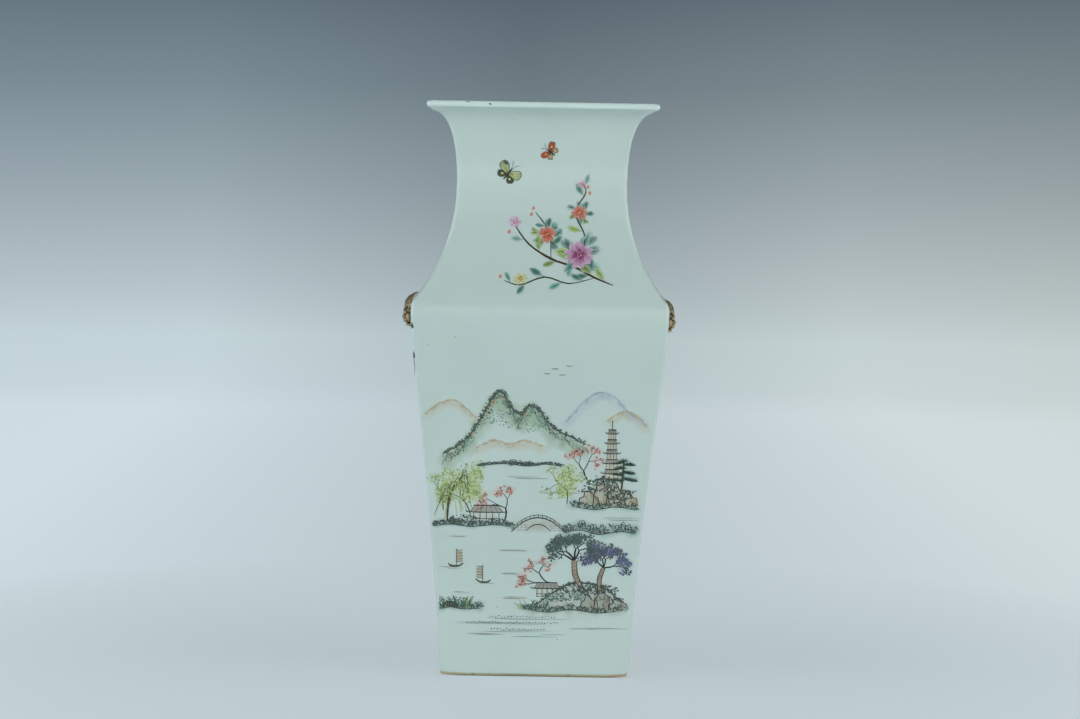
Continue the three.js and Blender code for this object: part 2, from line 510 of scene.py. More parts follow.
def noise_on_object(tree, scale, detail=2.0, roughness=0.5):
    place = tree.nodes.new("ShaderNodeTexCoord")
    grain = node_in(tree, "ShaderNodeTexNoise", Scale=scale, Detail=detail, Roughness=roughness)
    tree.links.new(place.outputs["Object"], grain.inputs["Vector"])
    return grain.outputs["Fac"]


def mix_colours(tree, factor, first, second):
    """Mixes two colour sockets or fixed colours by a socket."""
    mix = tree.nodes.new("ShaderNodeMix")
    mix.data_type = "RGBA"
    tree.links.new(factor, mix.inputs["Factor"])
    for socket, value in ((mix.inputs[6], first), (mix.inputs[7], second)):
        if isinstance(value, tuple):
            socket.default_value = (*value, 1.0)
        else:
            tree.links.new(value, socket)
    return mix.outputs[2]


def multiply_colours(tree, first, second, share=None):
    """The product of two colours, or as much of it as a socket says."""
    mix = tree.nodes.new("ShaderNodeMix")
    mix.data_type = "RGBA"
    mix.blend_type = "MULTIPLY"
    mix.inputs["Factor"].default_value = 1.0
    if share is not None:
        tree.links.new(share, mix.inputs["Factor"])
    tree.links.new(first, mix.inputs[6])
    tree.links.new(second, mix.inputs[7])
    return mix.outputs[2]


def glaze_material(colour):
    """Pale glaze, a little lighter over the lower wall as painted light bounced from the table and much
    lighter on the lip where the glaze thins and as a painted highlight, with sparse pinholes and the thin
    washes painted on it.
    """
    material, tree, shader = new_material("pale_glaze")
    place, axes = place_on_object(tree)
    level = remap(tree, axes["Z"], 0.0, CAD_BOX[1][2])
    # Painted light: lighter towards the table as bounced light, and a painted highlight along the lip, where
    # the glaze also thins.
    stops = ((0.0, 1.06), (0.25, 1.02), (0.5, 1.0), (0.983, 1.0), (0.989, 1.17))
    thin_glaze_and_painted_light = ramp_colour(tree, level, [(stop, scaled(colour, factor)) for stop, factor in stops])
    drift = noise_on_object(tree, 9.0, 4.0, 0.55)
    slow = ramp_colour(tree, drift, [(0.3, grey(0.955)), (0.7, grey(1.0))])
    tones = multiply_colours(tree, thin_glaze_and_painted_light, slow)
    cells = node_in(tree, "ShaderNodeTexVoronoi", Scale=42.0, Randomness=1.0)
    tree.links.new(place, cells.inputs["Vector"])
    pinhole = remap(tree, cells.outputs["Distance"], 0.018, 0.032, 0.75, 0.0)
    wash = node_in(tree, "ShaderNodeAttribute", attribute_name="wash")
    strength = node_in(tree, "ShaderNodeAttribute", attribute_name="wash_strength")
    washed = mix_colours(tree, strength.outputs["Fac"], tones, wash.outputs["Color"])
    spotted = mix_colours(tree, pinhole, washed, (0.16, 0.15, 0.11))
    tree.links.new(spotted, shader.inputs["Base Color"])
    add_bump(tree, shader, noise_on_object(tree, 26.0, 1.0), 0.1, 0.002)
    shader.inputs["Roughness"].default_value = 0.14
    shader.inputs["Coat Weight"].default_value = 0.3
    shader.inputs["Coat Roughness"].default_value = 0.05
    return material


def clay_material(colour):
    """Bare buff clay, gritty, with iron-orange and dark places and a painted contact shadow along its lower
    edge.
    """
    material, tree, shader = new_material("bare_foot_clay")
    patches = noise_on_object(tree, 14.0, 3.0)
    stops = [(0.36, scaled(colour, 0.8)), (0.5, colour), (0.62, (0.46, 0.31, 0.19))]
    tones = ramp_colour(tree, patches, stops)
    _, axes = place_on_object(tree)
    # Painted contact shadow: the lowest two millimetres darken towards the table.
    painted_contact_shadow = remap(tree, axes["Z"], 0.0005, 0.0022, 0.75, 0.0)
    with_contact_shadow = mix_colours(tree, painted_contact_shadow, tones, scaled(colour, 0.3))
    grit = noise_on_object(tree, 190.0, 5.0)
    gritty = mix_colours(tree, remap(tree, grit, 0.6, 0.72, 0.0, 0.7), with_contact_shadow, scaled(colour, 0.35))
    tree.links.new(gritty, shader.inputs["Base Color"])
    add_bump(tree, shader, grit, 0.5, 0.0008)
    shader.inputs["Roughness"].default_value = 0.88
    return material


class SQUAREVASE_OT_skin(bpy.types.Operator):
    """Glaze skin over the slabs, lip and base"""

    bl_idname = "squarevase.skin"
    bl_label = "Glaze skin"

    def execute(self, context):
        settings = context.scene.square_vase_body
        outside = outside_stations(settings.glaze_end, settings.lip_roll)
        inside = inside_stations()
        clear_selection()
        skin = sweep_square(outside + inside)
        round_corners(skin, inside, settings.inner_corner, 5)
        round_corners(skin, outside, settings.corner, 5)
        divide_across(skin, 48)
        divide_painted(skin)
        for vertex in skin.data.vertices:
            vertex.co = settled(vertex.co, settings.waver)
        raise_corners(skin, settings.corner_rise)
        point_faces_outwards(skin)
        bpy.ops.object.shade_smooth_by_angle(angle=SMOOTH_ANGLE)
        replaced = ["base_slab"]
        replaced += [f"{course}_{side}" for course in ("body_panel", "neck_panel", "lip") for side in SIDES]
        replaced += [f"{coil}_{corner}" for coil in ("body_seam", "neck_seam") for corner in CORNERS]
        finish_piece(skin, "glaze_skin", glaze_material(settings.glaze), replaced)
        return {"FINISHED"}


class SQUAREVASE_OT_foot(bpy.types.Operator):
    """Bare clay rim that the vase stands on"""

    bl_idname = "squarevase.foot"
    bl_label = "Foot rim"

    def execute(self, context):
        settings = context.scene.square_vase_body
        glaze_depth = 0.35 * MM
        outer = half_width("foot_right", 2 * MM) - glaze_depth
        inner = -Vector(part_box("foot_left")[1]).x + glaze_depth
        top = settings.glaze_end + 0.8 * MM
        edge = 1.0 * MM
        line = [(inner, top)]
        line += arc(inner + edge, edge, edge, 180, 270, 4)
        line += arc(outer - edge, edge, edge, -90, 0, 4)
        line += [(outer, top), (inner, top)]
        clear_selection()
        rim = sweep_square(line)
        choose_faces(rim, lambda face: face.area > 0.9 * (2 * inner) ** 2)
        bpy.ops.mesh.delete(type="FACE")
        bpy.ops.mesh.select_all(action="SELECT")
        bpy.ops.mesh.remove_doubles(threshold=MERGE)
        stop_edit()
        round_corners(rim, line, settings.corner - glaze_depth, 5)
        divide_across(rim, 32)
        for vertex in rim.data.vertices:
            vertex.co.x += 0.12 * MM * noise.noise(vertex.co * 160.0)
            vertex.co.y += 0.12 * MM * noise.noise(vertex.co * 170.0)
        raise_corners(rim, settings.corner_rise)
        point_faces_outwards(rim)
        bpy.ops.object.shade_smooth_by_angle(angle=SMOOTH_ANGLE)
        replaced = [f"foot_{side}" for side in SIDES]
        finish_piece(rim, "foot_rim", clay_material(settings.clay), replaced)
        return {"FINISHED"}


def gilt_material(gilt, hollow_shade):
    """Old gilding, bright on the high places and darkening to brown-black in the hollows as painted shade.
    """
    material, tree, shader = new_material("gilding_wear_and_shade")
    relief = node_in(tree, "ShaderNodeAttribute", attribute_name="relief")
    wear = noise_on_object(tree, 260.0, 5.0)
    # Wear noise added to the relief: the colour darkens into the hollows as painted shade.
    wear_and_shade = node_in(tree, "ShaderNodeMath", operation="MULTIPLY_ADD")
    wear_and_shade.inputs[1].default_value = 0.45
    tree.links.new(wear, wear_and_shade.inputs[0])
    tree.links.new(relief.outputs["Fac"], wear_and_shade.inputs[2])
    stops = [(0.5, hollow_shade), (0.71, scaled(gilt, 0.27)), (0.9, scaled(gilt, 0.7)), (1.0, gilt)]
    tones = ramp_colour(tree, wear_and_shade.outputs["Value"], stops)
    tree.links.new(tones, shader.inputs["Base Color"])
    add_bump(tree, shader, wear, 0.3, 0.0006)
    shader.inputs["Metallic"].default_value = 0.4
    shader.inputs["Roughness"].default_value = 0.4
    return material


def slip_material():
    """Thin glazed slip where the masks are stuck on, faintly pink."""
    material, tree, shader = new_material("luting_slip")
    blot = noise_on_object(tree, 70.0, 3.0)
    tones = ramp_colour(tree, blot, [(0.35, (0.52, 0.44, 0.41)), (0.65, (0.56, 0.60, 0.57))])
    tree.links.new(tones, shader.inputs["Base Color"])
    shader.inputs["Roughness"].default_value = 0.3
    return material


def mask_place():
    """The wall that the right-hand mask is stuck on, and the height of the mask's middle."""
    low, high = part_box("mask_right")
    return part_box("body_panel_right")[1][0], (low[2] + high[2]) / 2


def add_lump(out, across, up, radii, turn=(0.0, 0.0, 0.0)):
    """A ball of the right-hand mask, in millimetres out of the wall, across and up from its middle."""
    wall, middle = mask_place()
    bpy.ops.mesh.primitive_ico_sphere_add(
        subdivisions=3,
        radius=1.0,
        location=(wall + out * MM, across * MM, middle + up * MM),
        rotation=turn,
        scale=tuple(r * MM for r in radii),
    )
    return bpy.context.object


def add_curl(out, across, up, radius, start):
    """A curl of the mane: beads that shrink along most of a turn, round a middle bead."""
    parts = [add_lump(out + 0.4, across, up, (radius * 0.55,) * 3)]
    beads = 10
    for i in range(beads):
        angle = math.radians(start - 300 * i / beads)
        size = radius * (0.5 - 0.2 * i / beads)
        reach = radius * (1.05 - 0.03 * i)
        place = (across + reach * math.cos(angle), up + reach * math.sin(angle))
        parts.append(add_lump(out - 0.05 * i, *place, (size * 1.3, size, size)))
    return parts


# The balls of one half of the head: out, across, up, the three radii and the turn.
LUMPS = (
    (0.9, 0, 3.0, (9.8, 12.6, 13.4)),
    (1.2, 0, 9.6, (5.0, 8.2, 9.8), (0.0, -0.5, 0.0)),
    (9.0, 0, -0.6, (2.6, 1.9, 6.4), (0.0, -0.12, 0.0)),
    (10.3, 0, -7.0, (2.8, 2.9, 2.1)),
    (9.7, 2.5, -7.6, (1.9, 1.9, 1.5)),
    (6.0, 0, -10.0, (5.6, 7.4, 3.9)),
    (8.7, 3.9, -10.2, (2.9, 3.3, 2.3)),
    (9.4, 0.0, -12.0, (1.9, 2.6, 1.1)),
    (7.6, 4.4, -13.0, (0.9, 0.75, 1.7)),
    (4.4, 0, -15.2, (4.6, 5.6, 2.0)),
    (5.2, 9.2, -7.0, (3.6, 3.6, 4.2)),
    (8.6, 5.3, -2.4, (2.3, 2.5, 2.3)),
    (8.9, 5.2, 1.6, (2.3, 5.2, 1.3), (0.36, 0.0, 0.0)),
    (7.2, 9.6, 4.3, (1.9, 2.6, 1.0), (0.95, 0.0, 0.0)),
    (8.0, 5.6, -5.4, (1.6, 3.6, 0.75), (-0.3, 0.0, 0.0)),
    (3.6, 13.0, 4.4, (2.7, 2.0, 4.2), (-0.6, 0.0, 0.0)),
    (4.6, 13.2, 4.4, (2.0, 0.8, 2.9), (-0.6, 0.0, 0.0)),
)


def mask_lumps():
    """One half of a beast's head, from its middle line outwards, pressed together from balls."""
    parts = [add_lump(*lump) for lump in LUMPS]
    for i in range(4):
        lock = (8.6 - 1.4 * i, 1.7 + 2.3 * i, 7.2 - 0.2 * i)
        parts.append(add_lump(*lock, (1.6, 0.9, 4.6), (-0.2 * i, -0.2, 0.0)))
    for i in range(6):
        angle = math.radians(12 - 17.5 * i)
        place = (13.0 * math.cos(angle), -0.6 + 15.0 * math.sin(angle))
        parts += add_curl(2.6, *place, 2.0, 110 - 24 * i)
    return parts


def stand_out(piece, passes):
    """How far each point stands out from a smoothed copy of the surface: 0 in hollows, 1 on high places."""
    mesh = piece.data
    points = np.empty(len(mesh.vertices) * 3)
    normals = np.empty(len(mesh.vertices) * 3)
    ends = np.empty(len(mesh.edges) * 2, dtype=np.int32)
    mesh.vertices.foreach_get("co", points)
    mesh.vertices.foreach_get("normal", normals)
    mesh.edges.foreach_get("vertices", ends)
    points, normals, ends = points.reshape(-1, 3), normals.reshape(-1, 3), ends.reshape(-1, 2)
    count = np.bincount(ends.ravel(), minlength=len(points))[:, None]
    smooth = points.copy()
    for _ in range(passes):
        total = np.zeros_like(smooth)
        np.add.at(total, ends[:, 0], smooth[ends[:, 1]])
        np.add.at(total, ends[:, 1], smooth[ends[:, 0]])
        smooth = total / count
    height = ((points - smooth) * normals).sum(axis=1)
    reach = np.percentile(np.abs(height), 92)
    return np.clip(0.5 + 0.5 * height / reach, 0.0, 1.0)


def outside_pupils(piece):
    """0 on the middle of either eye, 1 elsewhere, so that the pupils stay dark."""
    wall, middle = mask_place()
    pupil, radius = Vector((wall + 10.9 * MM, 5.5 * MM, middle - 2.5 * MM)), 0.9 * MM
    places = (Vector((v.co.x, abs(v.co.y), v.co.z)) for v in piece.data.vertices)
    return np.array([0.0 if (place - pupil).length < radius else 1.0 for place in places])


class SQUAREVASE_OT_masks(bpy.types.Operator):
    """Gilt beast masks and the slip pads under them"""

    bl_idname = "squarevase.masks"
    bl_label = "Masks"

    def execute(self, context):
        settings = context.scene.square_vase_masks
        gold = gilt_material(settings.gilt, settings.hollow_shade)
        slip = slip_material()
        clear_selection()
        parts = mask_lumps()
        for part in parts:
            part.select_set(True)
        bpy.ops.object.join()
        right = context.object
        place_in_mesh(right)
        mirror = right.modifiers.new("other_half", "MIRROR")
        mirror.use_axis = (False, True, False)
        mirror.use_mirror_merge = False
        fused = right.modifiers.new("fused", "REMESH")
        fused.mode = "VOXEL"
        fused.voxel_size = settings.grain
        soft = right.modifiers.new("soft", "SMOOTH")
        soft.factor = 0.5
        soft.iterations = 2
        for modifier in ("other_half", "fused", "soft"):
            bpy.ops.object.modifier_apply(modifier=modifier)
        point_faces_outwards(right)
        bpy.ops.object.shade_smooth()
        # The relief also sets the painted shade in the hollows of the gilding.
        relief = right.data.attributes.new("relief", "FLOAT", "POINT")
        relief.data.foreach_set("value", stand_out(right, 14) * outside_pupils(right))
        left = right.copy()
        left.data = right.data.copy()
        left.data.transform(Matrix.Rotation(math.pi, 4, "Z"))
        right.data.transform(Matrix.Translation((0, 0, -settings.uneven)))
        context.scene.collection.objects.link(left)
        finish_piece(right, "mask_head_right", gold, ["mask_right"])
        finish_piece(left, "mask_head_left", gold, ["mask_left"])
        for side in ("right", "left"):
            pad = NODES[f"mask_pad_{side}"]
            pad.data.materials.clear()
            pad.data.materials.append(slip)
        return {"FINISHED"}


def on_screen(red, green, blue):
    """A colour given as it looks, 0 to 255, turned into amounts of light."""
    return tuple(((channel / 255 + 0.055) / 1.055) ** 2.4 for channel in (red, green, blue))


INK = on_screen(24, 34, 34)
SEPIA = on_screen(70, 62, 44)
PINE = on_screen(28, 62, 54)
MOSS = on_screen(62, 78, 40)
JADE = on_screen(96, 150, 134)
WILLOW = on_screen(146, 170, 94)
LIME = on_screen(184, 202, 136)
CORAL = on_screen(206, 128, 108)
VERMILION = on_screen(204, 88, 40)
BARK = on_screen(160, 146, 124)
VIOLET = on_screen(58, 58, 112)
SLATE = on_screen(158, 162, 152)
OCHRE = on_screen(190, 166, 124)
HAZE = on_screen(150, 164, 190)
WATER = on_screen(142, 166, 164)
ROSE = on_screen(178, 70, 140)
PINK = on_screen(206, 150, 190)
STRAW = on_screen(206, 202, 136)
PLASTER = on_screen(190, 190, 172)
GLAZE = on_screen(174, 195, 190)
DARK = (INK, PINE, MOSS)
GLAZE_DEPTH = 0.15
STROKE_LIFT = 0.08


def flowing(points, steps=4):
    """A smooth path through given points."""
    ends = [points[0], *points, points[-1]]
    path = []
    for before, a, b, after in zip(ends, ends[1:], ends[2:], ends[3:]):
        for i in range(steps):
            t = i / steps
            weights = (
                (-t + 2 * t**2 - t**3) / 2,
                (2 - 5 * t**2 + 3 * t**3) / 2,
                (t + 4 * t**2 - 3 * t**3) / 2,
                (t**3 - t**2) / 2,
            )
            corners = (before, a, b, after)
            path.append(tuple(sum(w * p[k] for w, p in zip(weights, corners)) for k in (0, 1)))
    return [*path, points[-1]]


class Brushwork:
    """Strokes on one face, in millimetres across from its middle and up from the table."""

    def __init__(self, face, seed, body):
        self.turn = Matrix.Rotation(math.pi / 2 * SIDES.index(face), 3, "Z")
        self.random = random.Random(seed)
        self.between, self.pick = self.random.uniform, self.random.choice
        self.corner, self.waver = body.corner, body.waver
        self.points, self.faces, self.tints, self.washes = [], [], [], []
        self.strokes = 0

    def place(self, across, up, lift):
        """A point of the glazed wall, also where it turns round the upright corner."""
        half, slope = wall_at(up * MM)
        flat_half = half - self.corner
        past = max(0.0, abs(across * MM) - flat_half) / self.corner
        angle = math.copysign(min(past, math.pi / 2), across)
        x = max(-flat_half, min(flat_half, across * MM)) + self.corner * math.sin(angle)
        y = -flat_half - self.corner * math.cos(angle)
        out = Vector((math.sin(angle), -math.cos(angle), -slope)).normalized()
        return settled(self.turn @ Vector((x, y, up * MM)), self.waver) + self.turn @ out * (lift * MM)

    def lift(self, layer):
        """Each layer lies on the one below, and neighbours in a layer never share a level."""
        self.strokes += 1
        return STROKE_LIFT + 0.05 * layer + 0.003 * (self.strokes % 16)

    def shade(self, tint, spread=0.18):
        return scaled(tint, self.between(1 - spread, 1 + spread))

    def patch(self, rings, tints, layer=1):
        """A thin closed body: a middle point, rings round it and the last ring again, under the glaze."""
        lift = self.lift(layer)
        first, count = len(self.points), len(rings[-1])
        for ring, tint in zip(rings, tints):
            self.points += [self.place(*point, lift) for point in ring]
            self.tints += [tint] * len(ring)
        self.points += [self.place(*point, -GLAZE_DEPTH) for point in rings[-1]]
        self.tints += [tints[-1]] * count
        starts = [first + 1 + count * i for i in range(len(rings))]
        for i in range(count):
            j = (i + 1) % count
            self.faces.append((first, starts[0] + i, starts[0] + j))
            for inner, outer in zip(starts, starts[1:]):
                self.faces.append((inner + i, outer + i, outer + j, inner + j))
        self.faces.append(tuple(starts[-1] + i for i in reversed(range(count))))

    def dab(self, across, up, long, wide, angle, tint, layer=1, tip=0.0, edge=None):
        """One touch of the brush: a rough oval along an angle, drawn to a point where tip is near 1."""
        outline = []
        count = 7 if max(long, wide) < 6 else 12
        for i in range(count):
            way = math.tau * i / count
            reach = self.between(0.9, 1.1) / 2
            x = long * reach * math.cos(way)
            y = wide * reach * math.sin(way) * (1 - tip * math.cos(way))
            outline.append(self.turned(across, up, x, y, angle))
        tint = self.shade(tint)
        self.patch([[(across, up)], outline], [tint, edge or blend(tint, GLAZE, 0.22)], layer)

    @staticmethod
    def turned(across, up, x, y, angle):
        c, s = math.cos(angle), math.sin(angle)
        return across + x * c - y * s, up + x * s + y * c

    def shape(self, outline, tint, layer=1):
        """A flat area with a given outline, anticlockwise."""
        middle = tuple(sum(point[k] for point in outline) / len(outline) for k in (0, 1))
        tint = self.shade(tint, 0.08)
        self.patch([[middle], outline], [tint, tint], layer)

    def line(self, path, width, tint, layer=2, taper=0.35):
        """A brush line, thinner towards its ends."""
        lift = self.lift(layer)
        first, last = len(self.points), len(path) - 1
        for i, (across, up) in enumerate(path):
            before, after = path[max(i - 1, 0)], path[min(i + 1, last)]
            run, rise = after[0] - before[0], after[1] - before[1]
            swell = taper + (1 - taper) * math.sin(math.pi * (i + 0.25) / (last + 0.5))
            reach = width / 2 * swell * self.between(0.85, 1.15) / max(math.hypot(run, rise), 0.001)
            for side in (reach, -reach):
                for level in (lift, -GLAZE_DEPTH):
                    self.points.append(self.place(across + rise * side, up - run * side, level))
            self.tints += [self.shade(tint, 0.12)] * 4
        for a in range(first, first + 4 * last, 4):
            b = a + 4
            self.faces += [(a, b, b + 2, a + 2), (a + 1, a + 3, b + 3, b + 1)]
            self.faces += [(a, a + 1, b + 1, b), (a + 2, b + 2, b + 3, a + 3)]
        end = first + 4 * last
        self.faces += [(first, first + 2, first + 3, first + 1), (end, end + 1, end + 3, end + 2)]

    def wash(self, across, up, long, wide, tint, strength, angle=0.0):
        """A thin soft tint, which the glaze itself carries."""
        self.washes.append((across, up, long, wide, angle, tint, strength))

    def finish(self, name, material):
        mesh = bpy.data.meshes.new(name)
        mesh.from_pydata(self.points, [], self.faces)
        tints = mesh.attributes.new("enamel", "FLOAT_COLOR", "POINT")
        tints.data.foreach_set("color", np.array([(*tint, 1.0) for tint in self.tints], np.float32).ravel())
        piece = bpy.data.objects.new(name, mesh)
        bpy.context.scene.collection.objects.link(piece)
        finish_piece(piece, name, material)


def lay_washes(skin, brushes):
    """Writes every wash into the glaze skin, each over the ones before it."""
    mesh = skin.data
    places = np.empty(len(mesh.vertices) * 3)
    mesh.vertices.foreach_get("co", places)
    places = places.reshape(-1, 3)
    colour = np.full((len(places), 4), 1.0)
    cover = np.zeros(len(places))
    halves = np.interp(places[:, 2], WALL_HEIGHTS, [half for half, _ in WALL])
    for brush in brushes:
        local = places @ np.array(brush.turn)
        ahead = local[:, 1] < SKIN_DEPTH - halves
        for across, up, long, wide, angle, tint, strength in brush.washes:
            x = local[:, 0] / MM - across
            z = local[:, 2] / MM - up
            c, s = math.cos(angle), math.sin(angle)
            along, aside = (x * c + z * s) * 2 / long, (z * c - x * s) * 2 / wide
            chosen = np.flatnonzero(ahead & (along**2 + aside**2 < 1.7))
            for i in chosen:
                ragged = 0.35 * noise.noise(Vector(places[i]) * 130.0)
                fade = min(1.0, max(0.0, 1.1 - math.hypot(along[i], aside[i]) + ragged))
                amount = strength * fade**2 * (3 - 2 * fade)
                total = amount + cover[i] * (1 - amount)
                if total > 0:
                    share = amount / total
                    colour[i, :3] = colour[i, :3] * (1 - share) + np.array(tint) * share
                    cover[i] = total
    mesh.attributes.new("wash", "FLOAT_COLOR", "POINT").data.foreach_set("color", colour.ravel())
    mesh.attributes.new("wash_strength", "FLOAT", "POINT").data.foreach_set("value", cover)


def moss(brush, across, up, wide, tall, count, tints, size=1.2, layer=3):
    """Dots of moss or far leaves, scattered in an oval."""
    for _ in range(count):
        way, reach = brush.between(0, math.tau), math.sqrt(brush.random.random()) / 2
        place = (across + wide * reach * math.cos(way), up + tall * reach * math.sin(way))
        long = size * brush.between(0.7, 1.7)
        wide_dot = long * brush.between(0.45, 0.8)
        brush.dab(*place, long, wide_dot, brush.between(-0.7, 0.7), brush.pick(tints), layer)


def grow(brush, start, heading, length, width, forks, tint, tips):
    """A bough that bends, thins and forks. The ends of its twigs go into tips."""
    path = [start]
    for _ in range(3):
        heading += brush.between(-0.3, 0.3)
        across, up = path[-1]
        path.append((across + length / 3 * math.cos(heading), up + length / 3 * math.sin(heading)))
    brush.line(path, width, tint, 2, 0.75)
    if forks == 0:
        tips.append(path[-1])
        return
    for way in (-1, 1):
        turn = way * brush.between(0.25, 0.85)
        size = brush.between(0.62, 0.86)
        grow(brush, path[-1], heading + turn, length * size, width * 0.62, forks - 1, tint, tips)


def trunk(brush, start, heading, tall, width):
    """A leaning trunk with ink edges and bark strokes, and its boughs. Gives the ends of its twigs."""
    across, up = start
    top = (across + tall * math.cos(heading), up + tall * math.sin(heading))
    bend = brush.pick((-0.1, 0.1)) * tall
    path = flowing([start, ((across + top[0]) / 2 + bend, (up + top[1]) / 2), top], 4)
    for side in (-1, 1):
        brush.line([(x + side * width * 0.5, z) for x, z in path], 0.95, INK, 4, 0.6)
        brush.line([(across, up + 1.5), (across + side * width * 1.1, up - 1.8)], 1.3, INK, 4, 0.4)
    brush.line(path, width, BARK, 3, 0.8)
    for x, z in path[1:-1]:
        brush.line([(x - width * 0.2, z), (x + width * 0.25, z + 1.6)], 0.5, SEPIA, 4)
    tips = []
    for way in (-1.0, -0.35, 0.3, 0.95):
        grow(brush, top, heading + way, tall * 0.38, width * 0.36, 2, INK, tips)
    return tips


def spray(brush, across, up, size, tint, count=6, layer=3):
    """Leaves fanned out from the end of a twig."""
    start = brush.between(0, math.tau)
    for i in range(count):
        way = start + math.tau * i / count + brush.between(-0.35, 0.35)
        reach = size * brush.between(0.4, 1.15)
        place = (across + reach * math.cos(way), up + reach * math.sin(way) * 0.8)
        long = size * brush.between(0.7, 1.1)
        brush.dab(*place, long, long * 0.58, way + brush.between(-0.6, 0.6), tint, layer, 0.5)


def leafy_tree(brush, start, heading, tall, tints, size=3.0, width=4.6):
    """A broad-leaved tree: clumps of leaves laid one by one over ink boughs."""
    for across, up in trunk(brush, start, heading, tall, width):
        brush.wash(across, up, 18, 15, tints[0], 0.2)
        for _ in range(4):
            place = (across + brush.between(-6, 6), up + brush.between(-5, 4))
            spray(brush, *place, size, brush.pick(tints))


def blossom_tree(brush, start, heading, tall, tint, width=1.6):
    """A thin crooked tree in flower: loose touches of one colour with ink ticks."""
    tips = []
    grow(brush, start, heading, tall * 0.42, width, 3, INK, tips)
    for across, up in tips:
        brush.wash(across, up, 15, 12, tint, 0.22)
        for _ in range(5):
            place = (across + brush.between(-4.5, 4.5), up + brush.between(-3.5, 4))
            long, way = brush.between(2.4, 4.0), brush.between(0, 3.1)
            brush.dab(*place, long, long * 0.62, way, tint, 3, 0.3, blend(tint, WATER, 0.5))
        for _ in range(3):
            tick = brush.between(-0.4, 3.5)
            end = (across + 2.6 * math.cos(tick), up + 2.6 * math.sin(tick))
            brush.line([(across, up), end], 0.6, SEPIA, 4)


def misty_tree(brush, across, up, wide, tall, tints=(WILLOW, LIME, LIME)):
    """A pale spring tree: yellow-green mist, fine ink twigs and small leaves."""
    tips = []
    grow(brush, (across, up), math.pi / 2, tall * 0.34, 1.1, 3, SEPIA, tips)
    for _ in range(16):
        way, reach = brush.between(0, math.tau), brush.between(0.05, 0.4)
        place = (across + wide * reach * math.cos(way), up + tall * (0.58 + reach * math.sin(way)))
        brush.wash(*place, wide * 0.5, tall * 0.34, tints[-1], 0.4)
        moss(brush, *place, wide * 0.36, tall * 0.26, 16, (*tints, WILLOW), 1.7, 2)
        moss(brush, *place, wide * 0.3, tall * 0.2, 3, (MOSS, SEPIA), 0.9)
    for tip in tips:
        moss(brush, *tip, 9, 8, 12, tints, 1.6, 2)
        brush.line([tip, (tip[0] + 2, tip[1] + 2.4)], 0.5, SEPIA, 4)


def willow(brush, start, tall, side):
    """A leaning willow whose fine twigs hang down in curves."""
    across, up = start
    top = (across + side * tall * 0.34, up + tall)
    brush.line(flowing([start, (across + side * tall * 0.05, up + tall * 0.55), top], 3), 2.4, SEPIA, 2, 0.6)
    for i in range(26):
        t = 0.42 + 0.024 * i
        root = (across + side * tall * 0.34 * t**2, up + tall * t)
        swing = brush.pick((-1, 1)) * brush.between(2, 15)
        crest = (root[0] + swing * 0.55, root[1] + brush.between(1, 4))
        end = (root[0] + swing * 1.15, root[1] - tall * brush.between(0.15, 0.5))
        path = flowing([root, crest, end], 4)
        brush.line(path, 0.7, brush.pick((WILLOW, MOSS, LIME)), 3, 0.5)
        for x, z in path[2::2]:
            brush.dab(x, z - 0.8, 2.2, 0.8, -1.2, brush.pick((WILLOW, LIME)), 3)
    brush.wash(top[0] - side * 4, top[1] - tall * 0.18, tall * 0.9, tall * 0.62, LIME, 0.5)


def fan(brush, place, size):
    """Needles that spread upwards from one point."""
    for i in range(9):
        way = math.radians(4 + 21.5 * i) + brush.between(-0.1, 0.1)
        reach = size * brush.between(0.75, 1.1)
        end = (place[0] + reach * math.cos(way), place[1] + reach * math.sin(way) * 0.75)
        brush.line([place, end], 0.8, brush.pick((PINE, INK, PINE, MOSS)), 3, 0.5)


def pine(brush, start, heading, tall, width=3.0):
    """A pine: uneven tiers of needle fans along its boughs, with a jade mist under them."""
    across, up = start
    path = [(across + tall * t * math.cos(heading), up + tall * t * math.sin(heading)) for t in (0, 0.5, 1)]
    brush.line(path, width, SEPIA, 2, 0.6)
    fan(brush, path[-1], 4.8)
    for i in range(7):
        t = 0.36 + 0.1 * i + brush.between(-0.03, 0.03)
        root = (across + tall * t * math.cos(heading), up + tall * t * math.sin(heading))
        reach = tall * brush.between(0.22, 0.4) * (1.15 - 0.5 * t) * (1 if i % 2 else -1)
        rise = brush.between(-3, 2)
        brush.line([root, (root[0] + reach, root[1] + rise)], 1.1, INK, 2, 0.6)
        for k in range(4):
            share = 0.28 + 0.25 * k
            fan(brush, (root[0] + reach * share, root[1] + rise * share), brush.between(3.4, 4.8))
        brush.wash(root[0] + reach * 0.6, root[1] + 1, abs(reach) * 2, 9, JADE, 0.5)


def ridge(brush, points, tints, wash_tint, drop=18):
    """A near mountain: a dotted ink ridge, moss on its slopes and strokes that follow their fall."""
    path = flowing(points, 6)
    brush.line(path, 1.4, INK, 2, 0.5)
    for (across, up), (after, level) in zip(path, path[1:]):
        brush.wash(across, up - drop * 0.35, 20, drop * 1.1, wash_tint, 0.2)
        moss(brush, across, up + 0.5, 5, 3.6, 6, (*tints, INK), 1.8)
        moss(brush, across, up - 6, 6, 10, 5, (JADE, PINE, MOSS), 1.25)
        lean = 1.0 if level < up else -1.0
        for _ in range(2):
            x, z = across + brush.between(-2, 2), up - brush.between(1, 6)
            fall = drop * brush.between(0.2, 0.45)
            stroke = [(x, z), (x + lean * fall * 0.35, z - fall * 0.5), (x + lean * fall * 0.5, z - fall)]
            brush.line(stroke, 0.75, brush.pick((JADE, WATER, OCHRE, MOSS)), 1, 0.2)


